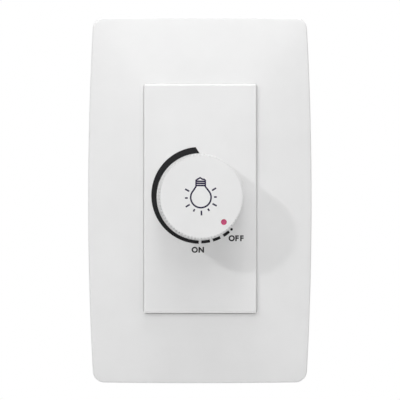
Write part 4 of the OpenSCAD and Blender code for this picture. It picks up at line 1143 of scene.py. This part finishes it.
class DIMMER_OT_stage(bpy.types.Operator):
    """Sets the floor, the background, the lamps and the camera"""

    bl_idname = "dimmer.stage"
    bl_label = "Stage"

    # Each lamp's name, the setting of its power, its side, its azimuth and elevation seen from the
    # plate's middle, and its distance from there, in metres and degrees
    LAMPS = (("Key lamp", "key", 0.32, 0, 58, 0.31),
             ("Top lamp", "top", 0.2, 0, 76, 0.6),
             ("Side lamp", "side", 0.06, -46, 28, 1.0),
             ("Fill lamp", "fill", 0.5, 58, 14, 0.8))

    def execute(self, context):
        scene = context.scene
        stage = scene.dimmer_stage
        scene.view_settings.view_transform = "Standard"
        self.add_floor(stage)
        self.light_world(scene, stage)
        for name, power_of, size, azimuth, elevation, distance in self.LAMPS:
            self.add_lamp(name, getattr(stage, power_of), size, azimuth, elevation, distance)
        self.add_camera(scene, stage)
        return {"FINISHED"}

    def add_floor(self, stage):
        """A pale floor under the plate, out of the camera's view."""
        half_metre, width, depth, ahead, below = 0.5, 1.6, 1.1, -0.33, -0.075
        bm = bmesh.new()
        made = bmesh.ops.create_grid(bm, x_segments=1, y_segments=1, size=half_metre)["verts"]
        bmesh.ops.scale(bm, vec=(width, depth, 1), verts=made)
        bmesh.ops.translate(bm, vec=(0, ahead, below), verts=made)
        mesh = bpy.data.meshes.new("floor")
        bm.to_mesh(mesh)
        bm.free()
        mesh.materials.append(stage_floor("Floor", stage.floor))
        floor = bpy.data.objects.new("floor", mesh)
        bpy.context.scene.collection.objects.link(floor)

    def light_world(self, scene, stage):
        """Even light from all round, and plain white for the camera and for reflections."""
        world = bpy.data.worlds.new("Studio")
        world.use_nodes = True
        scene.world = world
        tree = world.node_tree
        background = tree.nodes["Background"]
        background.inputs["Color"].default_value = (1, 1, 1, 1)
        rays = tree.nodes.new("ShaderNodeLightPath")
        strength = rays.outputs["Is Camera Ray"]
        for name in ("Is Glossy Ray", "Is Transmission Ray"):
            either = tree.nodes.new("ShaderNodeMath")
            either.operation = "MAXIMUM"
            tree.links.new(strength, either.inputs[0])
            tree.links.new(rays.outputs[name], either.inputs[1])
            strength = either.outputs[0]
        level = tree.nodes.new("ShaderNodeMapRange")
        level.inputs["To Min"].default_value = stage.ambient
        level.inputs["To Max"].default_value = 1.0
        tree.links.new(strength, level.inputs["Value"])
        tree.links.new(level.outputs["Result"], background.inputs["Strength"])

    def add_lamp(self, name, watts, size, azimuth, elevation, distance):
        """A square soft lamp that looks at the plate's middle."""
        lamp = bpy.data.lights.new(name, "AREA")
        lamp.energy = watts
        lamp.size = size
        holder = bpy.data.objects.new(name, lamp)
        bpy.context.scene.collection.objects.link(holder)
        turn, rise = math.radians(azimuth), math.radians(elevation)
        away = Vector((math.sin(turn) * math.cos(rise), -math.cos(turn) * math.cos(rise), math.sin(rise)))
        holder.location = away * distance
        holder.rotation_euler = away.to_track_quat("Z", "Y").to_euler()

    def add_camera(self, scene, stage):
        """A long lens level with the plate's middle, as the photograph was taken."""
        sensor, near, far, aim_y = 36, 0.05, 20, -6 * MM
        data = bpy.data.cameras.new("Camera")
        data.sensor_width = sensor
        data.lens = data.sensor_width * stage.distance / stage.field
        data.clip_start, data.clip_end = near, far
        camera = bpy.data.objects.new("Camera", data)
        scene.collection.objects.link(camera)
        aim = Vector((0, aim_y, 0))
        away = Vector((math.sin(stage.azimuth), -math.cos(stage.azimuth), 0))
        camera.location = aim + away * stage.distance
        camera.rotation_euler = away.to_track_quat("Z", "Y").to_euler()
        scene.camera = camera


# In the order in which they run
OPERATORS = (DIMMER_OT_stage, DIMMER_OT_cover_plate, DIMMER_OT_front_panel, DIMMER_OT_knob,
             DIMMER_OT_prints, DIMMER_OT_rear, DIMMER_OT_box_screws, DIMMER_OT_inner_parts)


class DIMMER_PT_pieces(bpy.types.Panel):
    """Lists the dimmer's settings and the operators that make its pieces"""

    bl_idname = "DIMMER_PT_pieces"
    bl_label = "Dimmer"
    bl_space_type = "VIEW_3D"
    bl_region_type = "UI"
    bl_category = "Dimmer"

    def draw(self, context):
        for operator in OPERATORS:
            self.layout.operator(operator.bl_idname)
        for name, group in SETTINGS:
            column = self.layout.column()
            column.label(text=group.__doc__)
            for prop in group.__annotations__:
                column.prop(getattr(context.scene, name), prop)


def register():
    """Registers the settings, the operators and the panel."""
    for name, group in SETTINGS:
        bpy.utils.register_class(group)
        setattr(bpy.types.Scene, name, bpy.props.PointerProperty(type=group))
    for item in OPERATORS + (DIMMER_PT_pieces,):
        bpy.utils.register_class(item)


def unregister():
    """Takes the panel, the operators and the settings away again."""
    for item in reversed(OPERATORS + (DIMMER_PT_pieces,)):
        bpy.utils.unregister_class(item)
    for name, group in reversed(SETTINGS):
        delattr(bpy.types.Scene, name)
        bpy.utils.unregister_class(group)


def main():
    """Makes every piece and the stage."""
    register()
    for operator in OPERATORS:
        family, action = operator.bl_idname.split(".")
        getattr(getattr(bpy.ops, family), action)()


if __name__ == "__main__":
    main()
